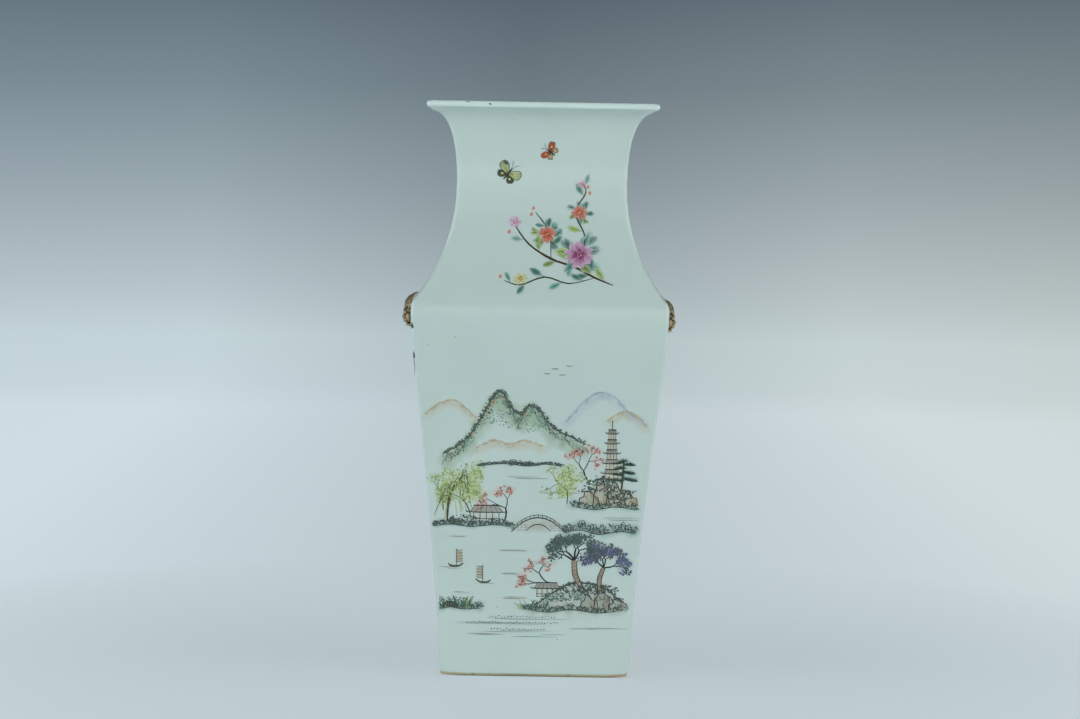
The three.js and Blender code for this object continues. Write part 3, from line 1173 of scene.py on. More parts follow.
def far_hill(brush, points, tint):
    """A hill in the distance: soft broken touches along its top and a thin tint under them."""
    path = flowing(points, 8)
    for (across, up), (after, level) in zip(path, path[1:]):
        way = math.atan2(level - up, after - across)
        for drop, chance in ((0.0, 0.92), (1.4, 0.5), (3.2, 0.3)):
            if brush.random.random() < chance:
                pale = blend(tint, GLAZE, 0.15 + 0.14 * drop)
                place = (across + brush.between(-0.6, 0.6), up - drop + brush.between(-0.4, 0.4))
                brush.dab(*place, brush.between(3.4, 5.5), brush.between(0.9, 1.5), way, pale, 1)
    for across, up in path[::2]:
        brush.wash(across, up - 4, 18, 11, tint, 0.16)


def shore(brush, points, tints, thick=5.0, wash_tint=JADE):
    """A low bank: a line at the water, a dense band of dotted growth and small round shrubs on it."""
    path = flowing(points, 6)
    brush.line(path, 0.9, INK, 2)
    for across, up in path:
        rise = thick * brush.between(0.7, 1.2)
        moss(brush, across, up + rise * 0.5, 6, rise, 10, (*tints, INK), 1.6)
        brush.wash(across, up + rise * 0.4, 16, rise * 2.2, wash_tint, 0.22)
        if brush.random.random() < 0.4:
            arch = ((-2.4, 0.6), (-1.4, rise), (1.4, rise), (2.4, 0))
            brush.line(flowing([(across + x, up + z) for x, z in arch], 2), 0.6, INK, 4)


# A rock seen from the front, over its width and its height.
ROCK_PROFILE = (
    (0, 0.0), (0.06, 0.5), (0.2, 0.62), (0.3, 0.95), (0.52, 1.0), (0.64, 0.7), (0.86, 0.55), (0.95, 0.1),
)


def rocks(brush, across, up, wide, tall, tint=OCHRE):
    """Piled rocks: angular bodies with a shaded side, broken ink outlines, texture strokes and moss."""
    steps = max(3, round(wide / 13))
    for i in range(steps):
        width = wide / steps * brush.between(1.2, 1.7)
        left = across - wide / 2 + wide * i / steps
        peak = tall * (0.4 + 0.6 * math.sin(math.pi * (i + 0.6) / steps)) * brush.between(0.75, 1.0)
        outline = []
        for x, z in ROCK_PROFILE:
            x += brush.between(-0.04, 0.04)
            outline.append((left + width * x, up + peak * z * brush.between(0.9, 1.1)))
        brush.wash(left + width / 2, up + peak * 0.5, width * 1.4, peak * 1.3, tint, 0.35)
        brush.shape(outline[::-1], blend(tint, GLAZE, 0.55), 0)
        shaded = [*outline[4:], (left + width * 0.6, up + peak * 0.1)]
        brush.shape(shaded[::-1], blend(tint, SLATE, 0.6), 1)
        brush.line(outline[:4], 1.2, INK, 3, 0.5)
        brush.line(outline[3:6], 1.5, INK, 3, 0.5)
        brush.line(outline[5:], 1.0, SEPIA, 3, 0.5)
        for _ in range(round(5 + peak / 3)):
            x, z = brush.between(0.12, 0.85), brush.between(0.15, 0.8)
            a = (left + width * x, up + peak * z * (1 - abs(x - 0.45)))
            b = (a[0] + brush.between(0.8, 3.0), a[1] - peak * brush.between(0.08, 0.2))
            brush.line([a, b], 0.75, brush.pick((SLATE, MOSS, SEPIA, JADE)), 2, 0.3)
        moss(brush, left + width * 0.42, up + peak, width * 0.9, 4.5, 16, (INK, PINE, INK), 1.7)


def mound(brush, points, base, tint=BARK):
    """A foreground slope: an ink outline, a tinted body with slanting strokes, and moss down its face."""
    path = flowing(points, 5)
    brush.line(path, 1.3, INK, 2, 0.5)
    for across, up in path:
        depth = up - base
        brush.wash(across, base + depth * 0.5, 20, depth * 1.3 + 4, tint, 0.14)
        for _ in range(2):
            x, z = across + brush.between(-3, 3), up - depth * brush.between(0.05, 0.6)
            brush.line([(x, z), (x + 2.4, z - 2.6)], 0.75, brush.pick((SLATE, SEPIA, MOSS)), 1, 0.2)
        moss(brush, across + 2, up - depth * 0.3, 8, depth * 0.5, 4, (PINE, JADE, INK), 1.3)
        moss(brush, across, up + 0.8, 5, 3, 4, DARK, 1.8)


def ripples(brush, lines):
    """Still water: long thin uneven strokes."""
    for across, up, long in lines:
        for _ in range(2):
            size = long * brush.between(0.4, 1.0)
            x = across + brush.between(-0.3, 0.3) * long
            z = up + brush.between(-1.6, 1.6)
            path = [(x - size / 2, z), (x - size / 6, z + brush.between(-0.5, 0.5)), (x + size / 2, z)]
            tint = blend(brush.pick((WATER, SLATE, WATER, BARK)), WATER, 0.35)
            brush.line(flowing(path, 3), brush.between(0.5, 1.1), tint, 1, 0.15)
        brush.wash(across, up, long * 1.2, 5, JADE, 0.14)


def roof(brush, across, up, wide, tall, tint=SLATE):
    """A tiled roof seen from its side, with upturned eaves and ink tile lines."""
    eave, top = wide / 2, wide * 0.34
    corners = ((-eave, 0), (eave, 0), (top, tall), (-top, tall))
    brush.shape([(across + x, up + z) for x, z in corners], tint, 3)
    for i in range(7):
        t = -1 + i / 3
        brush.line([(across + eave * t * 0.94, up), (across + top * t, up + tall)], 0.45, SEPIA, 4, 0.8)
    curl = [(across - eave - 2, up + 1.6), (across - eave, up - 0.2)]
    curl += [(across + eave, up - 0.2), (across + eave + 2, up + 1.6)]
    brush.line(flowing(curl, 4), 0.9, INK, 4, 0.6)
    crest = up + tall + 0.4
    brush.line([(across - top - 0.8, crest), (across + top + 0.8, crest)], 1.1, INK, 4, 0.8)


def hall(brush, across, up, wide, tall):
    """A small open hall: posts, a rail, plaster between and a tiled roof."""
    brush.wash(across, up + tall / 2, wide * 1.3, tall * 1.3, PLASTER, 0.5)
    for i in range(5):
        x = across - wide * 0.42 + wide * 0.21 * i
        brush.line([(x, up), (x, up + tall)], 0.75, SEPIA, 2, 0.9)
    for level in (0.0, 0.32):
        ends = [(across + side * wide * 0.46, up + tall * level) for side in (-1, 1)]
        brush.line(ends, 0.65, SEPIA, 2, 0.7)
    roof(brush, across, up + tall, wide * 1.15, tall * 0.62)


def pagoda(brush, across, up, tiers, wide, tall):
    """A tower of tiled storeys that narrow upwards, with a mast."""
    for i in range(tiers):
        width = wide * (1 - 0.11 * i)
        base = up + tall * i
        wall = [(-0.36, 0), (0.36, 0), (0.34, 0.6), (-0.34, 0.6)]
        brush.shape([(across + x * width, base + z * tall) for x, z in wall], PLASTER, 2)
        for x in (-0.36, -0.12, 0.12, 0.36):
            post = across + x * width
            brush.line([(post, base), (post, base + tall * 0.6)], 0.5, SEPIA, 3, 0.9)
        roof(brush, across, base + tall * 0.6, width, tall * 0.34)
    top = up + tall * tiers
    brush.line([(across, top), (across, top + tall * 0.9)], 0.9, INK, 4, 0.5)


def bridge(brush, across, up, wide, tall):
    """An arched stone bridge with posts along its rail."""

    def arch(share, lift):
        spans = [-1 + i / 4 for i in range(9)]
        return [(across + wide / 2 * share * t, up + lift + tall * share * (1 - t * t)) for t in spans]

    brush.wash(across, up + tall * 0.5, wide, tall * 1.2, BARK, 0.5)
    brush.line(arch(1.0, 0.0), 1.1, INK, 3, 0.6)
    brush.line(arch(1.0, 2.8), 0.6, INK, 3, 0.6)
    brush.line(arch(0.45, 1.5), 0.95, INK, 3, 0.6)
    for i in range(13):
        t = -0.92 + 0.153 * i
        foot = (across + wide / 2 * t, up + tall * (1 - t * t))
        brush.line([foot, (foot[0], foot[1] + 3.1)], 0.6, INK, 4, 0.9)
        for level in (2.2, 4.6, 7.0):
            if level < foot[1] - up and abs(t) > 0.4:
                x = foot[0] + brush.between(-1, 1)
                brush.line([(x - 1.4, up + level), (x + 1.4, up + level)], 0.45, SEPIA, 3)


def boat(brush, across, up, long, side=1):
    """A sailing boat with a battened sail."""
    hull = [(-0.5, 0.16), (-0.28, 0.0), (0.2, -0.01), (0.52, 0.2)]
    brush.line(flowing([(across + side * x * long, up + z * long) for x, z in hull], 4), 1.9, SEPIA, 3, 0.4)
    mast = across + side * 0.05 * long
    brush.line([(mast, up), (mast, up + long * 1.15)], 0.7, INK, 3, 0.7)
    sail = [(0.02, 0.2), (0.44, 0.3), (0.38, 0.98), (0.02, 1.08)]
    outline = [(mast + side * x * long, up + z * long) for x, z in sail]
    brush.shape(outline if side > 0 else outline[::-1], blend(PLASTER, BARK, 0.35), 2)
    for i in range(5):
        level = 0.26 + 0.19 * i
        ends = [(mast, up + level * long), (mast + side * 0.42 * long, up + (level + 0.05) * long)]
        brush.line(ends, 0.5, SEPIA, 3, 0.8)
    ripples(brush, [(across, up - 1.6, long * 1.5)])


def reeds(brush, across, up, wide, count):
    """Reeds at the water's edge."""
    for _ in range(count):
        x = across + brush.between(-wide, wide) / 2
        lean, tall = brush.between(-5, 5), brush.between(4, 12)
        path = [(x, up), (x + lean * 0.3, up + tall * 0.6), (x + lean, up + tall)]
        brush.line(flowing(path, 2), 0.7, brush.pick((MOSS, PINE, WILLOW, JADE)), 3, 0.4)


def birds(brush, places):
    """A skein of far birds, two curved strokes each."""
    for across, up in places:
        for side in (-1, 1):
            wing = [(across, up), (across + side * 1.6, up + 1.2), (across + side * 3.4, up + 0.4)]
            brush.line(flowing(wing, 2), 0.6, SEPIA, 2, 0.4)


def leaf(brush, across, up, long, wide, heading, tint, layer=1):
    """A soft leaf on a short stalk: dark along its middle and thin at its uneven rim."""
    rings = []
    for size in (0.4, 0.75, 1.0):
        ring = []
        for i in range(14):
            way = math.tau * i / 14
            wave = brush.between(0.85, 1.15)
            x = long / 2 * size * math.cos(way) * (wave + 1) / 2
            y = wide / 2 * size * math.sin(way) * abs(math.sin(way)) ** 0.3 * wave
            ring.append(brush.turned(across, up, x, y, heading))
        rings.append(ring)
    inner = brush.shade(tint, 0.3)
    pale = blend(inner, GLAZE, brush.between(0.5, 0.8))
    tints = [blend(inner, PINE, 0.35), inner, blend(inner, GLAZE, 0.25), pale]
    brush.patch([[(across, up)], *rings], tints, layer)
    brush.wash(across, up, long * 1.3, wide * 1.7, tint, 0.3, heading)
    ends = [brush.turned(across, up, x, 0.0, heading) for x in (-long * 0.66, 0.0, long * 0.3)]
    brush.line(ends, 0.6, blend(tint, INK, 0.5), layer + 1, 0.4)


def flower(brush, across, up, size, petals, rings, core, rim, layer=3):
    """A full flower: rings of feathery petals that darken to the middle, and a dotted heart."""
    brush.wash(across, up, size * 3.0, size * 2.5, rim, 0.5)
    for ring in range(rings):
        share = ring / max(1, rings - 1)
        reach = size * (0.78 - 0.52 * share)
        for i in range(petals - ring):
            way = math.tau * (i + 0.5 * ring) / (petals - ring) + brush.between(-0.25, 0.25)
            for spread, push in ((-0.16, 0.9), (0.16, 0.96), (0.0, 1.08)):
                out = reach * push * brush.between(0.9, 1.1)
                place = (across + out * math.cos(way + spread), up + out * 0.85 * math.sin(way + spread))
                long = size * (0.72 - 0.25 * share) * brush.between(0.8, 1.15)
                tint = blend(rim, core, 0.1 + 0.85 * share + 0.1 * (1 - push))
                pale = blend(tint, GLAZE, 0.5 - 0.4 * share)
                brush.dab(*place, long, long * 0.42, way + spread, tint, layer + ring, -0.3, pale)
    moss(brush, across, up, size * 0.5, size * 0.4, 8, (STRAW, core), 1.0, layer + rings + 1)


def posy(brush, across, up, size, petals, rings, core, rim, greens):
    """A flower with soft leaves crowded behind it."""
    start = brush.between(0, 1)
    for i in range(7):
        way = start + math.tau * i / 7 + brush.between(-0.3, 0.3)
        reach = size * brush.between(1.1, 1.65)
        place = (across + reach * math.cos(way), up + reach * math.sin(way) * 0.9)
        tint = brush.pick(greens)
        for _ in range(3):
            long = size * brush.between(0.8, 1.4)
            near = brush.turned(*place, brush.between(-0.2, 0.3) * size, 0.0, brush.between(0, 6.2))
            leaf(brush, *near, long, long * 0.46, way + brush.between(-0.7, 0.7), tint)
    flower(brush, across, up, size, petals, rings, core, rim)


def stem(brush, points, width, tint, greens, size):
    """A stem with leaves in pairs along it."""
    path = flowing(points, 4)
    brush.line(path, width, tint, 1, 0.4)
    for i in range(2, len(path) - 1, 3):
        (across, up), (ahead, above) = path[i], path[i + 1]
        way = math.atan2(above - up, ahead - across)
        side = 1 if i % 2 else -1
        turn = way + side * brush.between(0.5, 1.0)
        long = size * brush.between(0.75, 1.25)
        place = brush.turned(across, up, long * 0.75, 0.0, turn)
        leaf(brush, *place, long, long * 0.45, turn, brush.pick(greens))


def butterfly(brush, across, up, size, heading, tint, second):
    """A butterfly seen from above, with ink-rimmed spotted wings."""
    for side in (-1, 1):
        for x, y, long, wide, turn, colour in (
            (0.25, 0.52, 1.1, 0.66, 1.15, tint),
            (-0.3, 0.4, 0.72, 0.54, 2.0, second),
        ):
            place = brush.turned(across, up, x * size, side * y * size, heading)
            angle = heading + side * turn
            brush.dab(*place, long * size * 1.14, wide * size * 1.16, angle, INK, 1, -0.4)
            brush.dab(*place, long * size, wide * size, angle, colour, 2, -0.4, blend(colour, INK, 0.3))
            for k in (-0.5, 0.0, 0.5):
                tip = brush.turned(*place, long * size * 0.42, k * wide * size * 0.5, angle)
                brush.line([(across, up), tip], 0.4, INK, 4)
            brush.dab(*place, size * 0.24, size * 0.18, angle, STRAW, 5)
        antenna = [(0.5, 0.04), (0.85, 0.16), (1.1, 0.36)]
        path = [brush.turned(across, up, x * size, side * y * size, heading) for x, y in antenna]
        brush.line(flowing(path, 2), 0.5, INK, 3)
    ends = [brush.turned(across, up, x * size, 0.0, heading) for x in (-0.62, 0.0, 0.55)]
    brush.line(ends, 0.17 * size, INK, 4, 0.5)


def paint_hills(brush):
    """The far hills and the near ridge of the front, with birds and the far shore."""
    far_hill(brush, [(-112, 266), (-98, 276), (-84, 279), (-72, 271), (-60, 260)], OCHRE)
    far_hill(brush, [(28, 260), (44, 278), (60, 289), (76, 284), (92, 268), (104, 262)], HAZE)
    far_hill(brush, [(70, 262), (84, 270), (96, 267), (108, 256)], OCHRE)
    near = [(-92, 226), (-79, 234), (-67, 245), (-55, 265), (-45, 283), (-36, 288), (-27, 273), (-17, 266)]
    near += [(-8, 275), (2, 269), (14, 254), (30, 245), (48, 237)]
    ridge(brush, near, DARK, blend(JADE, STRAW, 0.3), 24)
    moss(brush, -40, 262, 30, 16, 70, (JADE, PINE), 1.2)
    moss(brush, -10, 254, 40, 12, 60, (JADE, MOSS), 1.2)
    far_hill(brush, [(-60, 232), (-44, 240), (-28, 236), (-12, 240), (6, 234)], OCHRE)
    birds(brush, [(8, 306), (16, 311), (23, 305), (30, 314)])
    shore(brush, [(-58, 213), (-34, 216), (-10, 214), (8, 216), (24, 214)], (INK, PINE), 2.6)
    moss(brush, -20, 217, 34, 6, 60, DARK, 1.6)


def paint_banks(brush):
    """The middle banks of the front: a tower on a wooded rock, a hall among trees and a bridge."""
    rocks(brush, 69, 174, 54, 30)
    misty_tree(brush, 30, 176, 30, 40)
    pagoda(brush, 74, 202, 5, 17, 10)
    blossom_tree(brush, (52, 198), 1.9, 32, CORAL)
    pine(brush, (84, 188), 1.5, 32, 2.2)
    moss(brush, 64, 196, 34, 13, 130, DARK, 1.9)
    moss(brush, 82, 186, 28, 12, 105, DARK, 1.9)
    shore(brush, [(36, 174), (58, 171), (79, 174), (99, 171)], DARK, 6)
    misty_tree(brush, -66, 164, 40, 52)
    misty_tree(brush, -93, 168, 26, 42)
    willow(brush, (-89, 157), 48, 1)
    hall(brush, -50, 157, 30, 10)
    blossom_tree(brush, (-32, 158), 1.2, 32, CORAL)
    moss(brush, -72, 160, 30, 8, 90, DARK, 1.8)
    shore(brush, [(-101, 152), (-85, 154), (-66, 152), (-42, 154), (-25, 152)], DARK, 6)
    bridge(brush, 2, 147, 54, 15)
    shore(brush, [(28, 147), (44, 150), (62, 146), (84, 149), (99, 147)], (MOSS, INK, SEPIA), 8)


def paint_near_bank(brush):
    """The near bank of the front, with its trees and reeds, and the boats off it."""
    boat(brush, -80, 112, 15)
    boat(brush, -52, 96, 15, -1)
    mound(brush, [(-4, 70), (12, 82), (32, 94), (52, 96), (71, 90), (86, 77)], 64)
    rocks(brush, 66, 68, 42, 26, BARK)
    leafy_tree(brush, (47, 90), 1.85, 30, (INK, PINE, PINE), 3.1, 5)
    leafy_tree(brush, (65, 88), 1.45, 24, (VIOLET, VIOLET, INK), 3.0, 4)
    blossom_tree(brush, (26, 88), 2.1, 40, CORAL, 2.2)
    hall(brush, 12, 82, 24, 8.5)
    moss(brush, 53, 90, 62, 10, 185, DARK, 2.0)
    moss(brush, 28, 82, 44, 9, 110, (MOSS, PINE, JADE), 1.6)
    shore(brush, [(-8, 69), (12, 66), (36, 69), (64, 66), (86, 69)], DARK, 5)
    reeds(brush, -2, 68, 30, 34)
    reeds(brush, -80, 70, 32, 42)
    shore(brush, [(-93, 68), (-84, 70), (-72, 68), (-54, 69)], DARK, 6)
    moss(brush, -80, 76, 28, 9, 66, (JADE, PINE), 1.4)


def paint_water(brush):
    """Dotted weeds along the lower edge of the front, and ripples all over the water."""
    for up, count in ((61, 22), (55, 30), (48, 18)):
        start = brush.between(-70, -40)
        for i in range(count):
            place = (start + 3.1 * i, up + brush.between(-0.9, 0.9))
            brush.dab(*place, brush.between(1.2, 2.4), 1.1, 0.1, brush.pick((PINE, JADE)), 2)
        ripples(brush, [(start + count * 1.5, up - 1.2, count * 3.4)])
    spots = [(-20, 128, 36), (10, 116, 30), (-26, 104, 24), (-70, 84, 36), (84, 162, 40), (22, 188, 44)]
    spots += [(-12, 202, 34), (-84, 142, 30), (-58, 44, 40), (60, 50, 44), (8, 42, 50), (-24, 80, 30)]
    ripples(brush, spots)


def paint_front(brush):
    """River landscape: hills, a tower on a wooded rock, a bridge, trees on the banks and boats."""
    for paint_part in (paint_hills, paint_banks, paint_near_bank, paint_water):
        paint_part(brush)


def paint_front_neck(brush):
    """A flowering spray in the lower right and two butterflies over it."""
    greens = (JADE, blend(JADE, PINE, 0.45), blend(JADE, WATER, 0.5), WILLOW)
    stem(brush, [(72, 395), (54, 402), (34, 412), (10, 420), (-12, 434), (-26, 452)], 2.4, SEPIA, greens, 13)
    stem(brush, [(34, 412), (44, 440), (34, 466), (44, 486), (40, 496)], 1.5, SEPIA, greens, 11)
    stem(brush, [(10, 420), (8, 446), (-6, 466)], 1.3, SEPIA, greens, 10)
    stem(brush, [(54, 402), (28, 396), (4, 402), (-20, 394), (-36, 398)], 1.4, MOSS, greens, 12)
    deep, fire = on_screen(132, 24, 96), on_screen(176, 62, 22)
    posy(brush, 38, 424, 12.5, 9, 4, deep, PINK, greens)
    posy(brush, 6, 444, 8, 8, 3, fire, VERMILION, greens)
    posy(brush, 38, 466, 7, 8, 3, fire, VERMILION, greens)
    flower(brush, -26, 456, 5.5, 5, 2, ROSE, PINK)
    flower(brush, -20, 400, 6, 7, 2, on_screen(176, 150, 50), STRAW)
    flower(brush, 40, 494, 4, 5, 2, ROSE, PINK)
    for across, up in ((48, 486), (-8, 470), (-10, 464), (-32, 446), (-40, 402), (46, 492)):
        brush.dab(across, up, 4.5, 3.2, 1.3, CORAL, 3, 0.5)
    butterfly(brush, -34, 504, 12, 0.9, LIME, MOSS)
    butterfly(brush, 8, 526, 9, 2.5, VERMILION, OCHRE)
    flecks = ((-74, 573.8, 1.9, 1.1), (-76.4, 573.8, 1.2, 0.8), (-52.4, 571.7, 3.6, 1.7))
    for across, up, long, wide in flecks:
        brush.dab(across, up, long, wide, -0.6, INK, 3, 0.0, INK)


def bamboo(brush, across, up, tall, lean, tints):
    """A bamboo stem in joints, with thin twigs that end in sprays of pointed leaves."""
    joints = 8
    for i in range(joints):
        low, high = tall * i / joints, tall * (i + 0.95) / joints
        ends = [(across + lean * (z / tall) ** 1.6, up + z) for z in (low, (low + high) / 2, high)]
        brush.line(ends, 3.3 - 0.25 * i, blend(tints[0], JADE, 0.55), 1, 0.95)
        brush.line([(ends[0][0] - 2, up + low), (ends[0][0] + 2, up + low)], 0.8, INK, 2)
        if i < 2:
            continue
        for side in (-1, 1):
            reach = brush.between(5, 22)
            rise = reach * brush.between(0.3, 1.0)
            middle = (ends[2][0] + side * reach * 0.5, ends[2][1] + rise * 0.7)
            twig = flowing([ends[2], middle, (ends[2][0] + side * reach, ends[2][1] + rise)], 3)
            brush.line(twig, 0.8, MOSS, 2)
            for root in (twig[-1], twig[-1], twig[len(twig) // 2]):
                for _ in range(3):
                    way = -math.pi / 2 + side * (0.55 + brush.between(-0.75, 0.8))
                    long = brush.between(8, 17)
                    place = brush.turned(*root, long * 0.5, 0.0, way)
                    brush.dab(*place, long, long * 0.19, way, brush.pick(tints), 3, 0.85)


def paint_side(brush, sway):
    """Bamboo, rocks and flowers, with a flowering branch on the neck."""
    bamboo(brush, -18 * sway, 84, 206, 22 * sway, (PINE, JADE, INK))
    bamboo(brush, 24 * sway, 78, 168, 12 * sway, (MOSS, WILLOW, PINE))
    bamboo(brush, 50 * sway, 74, 116, 18 * sway, (JADE, PINE, LIME))
    rocks(brush, -34 * sway, 70, 56, 62, HAZE)
    rocks(brush, 34 * sway, 62, 76, 30, OCHRE)
    reeds(brush, 0, 70, 80, 60)
    greens = (JADE, PINE, WILLOW)
    posy(brush, -54 * sway, 92, 9, 8, 3, on_screen(132, 24, 96), PINK, greens)
    posy(brush, -72 * sway, 80, 6.5, 7, 2, on_screen(176, 62, 22), VERMILION, greens)
    moss(brush, 0, 66, 150, 12, 260, DARK, 1.9)
    shore(brush, [(-84, 60), (-40, 58), (10, 61), (55, 58), (84, 60)], DARK, 5)
    ripples(brush, [(-40, 50, 60), (20, 46, 70), (50, 54, 30)])
    birds(brush, [(40 * sway, 300), (48 * sway, 305), (55 * sway, 299)])
    blossom_tree(brush, (-58 * sway, 398), math.pi / 2 - 0.35 * sway, 74, CORAL, 2.8)
    blossom_tree(brush, (-50 * sway, 396), math.pi / 2 - 1.05 * sway, 60, VERMILION, 2.2)
    butterfly(brush, 26 * sway, 496, 11, 1.2, HAZE, VIOLET)


def paint_left_corner(brush):
    """Ink leaves that reach round the corner from the left side."""
    leaves = ((125.8, 352.5, 6.5, 3.6), (119, 356, 10, 3), (122.9, 323.5, 7, 3.4), (116, 319, 9, 2.8))
    for across, up, long, wide in leaves:
        brush.dab(across, up, long, wide, 1.4, INK, 3, 0.6)
    brush.line(flowing([(100, 290), (112, 299), (120.5, 308), (122, 319)], 4), 0.9, SEPIA, 2)


def paint_back(brush):
    """A second, quieter river landscape, with a spray on the neck."""
    far_hill(brush, [(-100, 262), (-80, 282), (-60, 288), (-36, 272), (-20, 262)], HAZE)
    far_hill(brush, [(-10, 266), (10, 276), (34, 272), (50, 260)], OCHRE)
    near = [(-20, 236), (2, 244), (20, 262), (36, 286), (48, 296), (60, 280), (76, 262), (98, 250)]
    ridge(brush, near, DARK, blend(JADE, STRAW, 0.3), 26)
    moss(brush, 44, 262, 50, 22, 90, (JADE, PINE), 1.2)
    rocks(brush, -74, 160, 60, 42)
    pine(brush, (-84, 190), 1.3, 46)
    pine(brush, (-58, 182), 1.8, 38)
    moss(brush, -72, 184, 60, 14, 140, DARK, 1.9)
    hall(brush, -28, 166, 34, 11)
    shore(brush, [(-108, 160), (-84, 157), (-50, 161), (-6, 158)], DARK, 6)
    misty_tree(brush, 68, 166, 44, 56)
    willow(brush, (94, 154), 52, -1)
    shore(brush, [(38, 152), (64, 149), (88, 152), (108, 149)], DARK, 7)
    boat(brush, 14, 130, 18, -1)
    boat(brush, 46, 112, 15)
    mound(brush, [(-104, 78), (-84, 94), (-60, 98), (-36, 90), (-12, 72)], 62)
    leafy_tree(brush, (-70, 92), 1.3, 34, (INK, PINE), 3.2, 5)
    leafy_tree(brush, (-44, 88), 1.8, 26, (MOSS, PINE), 3.0, 4)
    blossom_tree(brush, (-26, 86), 1.0, 40, CORAL, 2.2)
    moss(brush, -58, 88, 80, 12, 200, DARK, 1.9)
    shore(brush, [(-108, 66), (-70, 62), (-30, 66), (0, 64)], DARK, 6)
    reeds(brush, 34, 66, 60, 50)
    ripples(brush, [(40, 90, 60), (60, 78, 40), (10, 102, 50), (0, 52, 80), (50, 50, 60)])
    paint_front_neck(brush)


def enamel_material():
    """Fired enamels: each stroke has its own colour, under a thin gloss."""
    material, tree, shader = new_material("overglaze_enamels")
    tint = node_in(tree, "ShaderNodeAttribute", attribute_name="enamel")
    grain = noise_on_object(tree, 420.0, 3.0)
    tones = ramp_colour(tree, grain, [(0.3, grey(0.82)), (0.7, grey(1.0))])
    mixed = multiply_colours(tree, tint.outputs["Color"], tones)
    tree.links.new(mixed, shader.inputs["Base Color"])
    shader.inputs["Roughness"].default_value = 0.3
    return material


class SQUAREVASE_OT_painting(bpy.types.Operator):
    """Enamel landscapes, flowers and bamboo on the four faces"""

    bl_idname = "squarevase.painting"
    bl_label = "Painting"

    def execute(self, context):
        body = context.scene.square_vase_body
        enamel = enamel_material()
        subjects = {
            "painting_front": ("front", paint_front),
            "painting_front_neck": ("front", paint_front_neck),
            "painting_back": ("back", paint_back),
            "painting_right": ("right", lambda brush: paint_side(brush, 1)),
            "painting_left": ("left", lambda brush: paint_side(brush, -1)),
            "painting_left_corner": ("left", paint_left_corner),
        }
        brushes = []
        for seed, (name, (face, paint)) in enumerate(subjects.items()):
            brush = Brushwork(face, 40 + seed, body)
            paint(brush)
            brush.finish(name, enamel)
            brushes.append(brush)
        lay_washes(bpy.data.objects["glaze_skin"], brushes)
        return {"FINISHED"}


# The sweep's colours up its wall, pale at the floor and darkening upwards as painted falloff of light, and
# what they are multiplied by from left to right, with a painted shade behind the vase.
WALL_TONES = (
    (0.0, (0.62, 0.71, 0.745)),
    (0.52, (0.55, 0.645, 0.67)),
    (0.64, (0.43, 0.505, 0.53)),
    (0.74, (0.315, 0.38, 0.41)),
    (0.86, (0.20, 0.255, 0.285)),
    (1.0, (0.11, 0.15, 0.185)),
)
SIDE_PAINTED_SHADE = (
    (0.0, (0.98, 1.0, 1.03)),
    (0.22, (1.0, 1.02, 1.04)),
    (0.5, (0.765, 0.785, 0.795)),
    (0.78, (1.02, 1.0, 0.98)),
    (1.0, (1.01, 0.98, 0.94)),
)


def sweep_material():
    """Studio sweep that glows to the camera and in reflections as painted light: grey-blue high up, pale at
    the floor and a little darker behind the vase as painted shade.
    """
    material, tree, shader = new_material("studio_sweep")
    _, axes = place_on_object(tree)
    level = tree.nodes.new("ShaderNodeCombineXYZ")
    for axis in ("X", "Y"):
        tree.links.new(axes[axis], level.inputs[axis])
    radius = node_in(tree, "ShaderNodeVectorMath", operation="LENGTH")
    tree.links.new(level.outputs["Vector"], radius.inputs[0])
    run = maths(tree, "ADD", radius.outputs["Value"], axes["Z"])
    tones = ramp_colour(tree, remap(tree, run, 3.5, 5.5), WALL_TONES)
    side = ramp_colour(tree, remap(tree, axes["X"], -1.4, 1.4), SIDE_PAINTED_SHADE)
    far = remap(tree, run, 0.3, 0.9)
    painted_sweep_light = multiply_colours(tree, tones, side, far)
    tree.links.new(painted_sweep_light, shader.inputs["Base Color"])
    shader.inputs["Roughness"].default_value = 0.9
    shader.inputs["Specular IOR Level"].default_value = 0.0
    glow = tree.nodes.new("ShaderNodeEmission")
    tree.links.new(painted_sweep_light, glow.inputs["Color"])
    ray = tree.nodes.new("ShaderNodeLightPath").outputs
    mirrored = maths(tree, "MAXIMUM", ray["Is Glossy Ray"], ray["Is Transmission Ray"])
    seen = maths(tree, "MAXIMUM", ray["Is Camera Ray"], mirrored)
    # Near the vase the sweep glows only in part, so that the floor keeps the vase's shadow.
    share = maths(tree, "MULTIPLY", seen, remap(tree, far, 0.0, 1.0, 0.55))
    mixed = tree.nodes.new("ShaderNodeMixShader")
    tree.links.new(share, mixed.inputs["Fac"])
    tree.links.new(shader.outputs["BSDF"], mixed.inputs[1])
    tree.links.new(glow.outputs["Emission"], mixed.inputs[2])
    tree.links.new(mixed.outputs["Shader"], tree.nodes["Material Output"].inputs["Surface"])
    return material


def add_sweep():
    """Round floor that curves up into a wall all the way round."""
    clear_selection()
    floor_radius, cove, wall_top = 4.2, 0.3, 3.6
    bpy.ops.mesh.primitive_circle_add(vertices=128, radius=floor_radius, fill_type="NGON")
    sweep = bpy.context.object
    choose_edges(sweep, lambda a, b: True)
    rising = arc(floor_radius, cove, cove, -90, 0, 8)[1:]
    extrude_along([(floor_radius, 0.0), *rising, (floor_radius + cove, wall_top)])
    bpy.ops.mesh.select_all(action="SELECT")
    bpy.ops.mesh.normals_make_consistent(inside=True)
    stop_edit()
    bpy.ops.object.shade_smooth()
    sweep.name = "studio_sweep"
    sweep.data.materials.append(sweep_material())


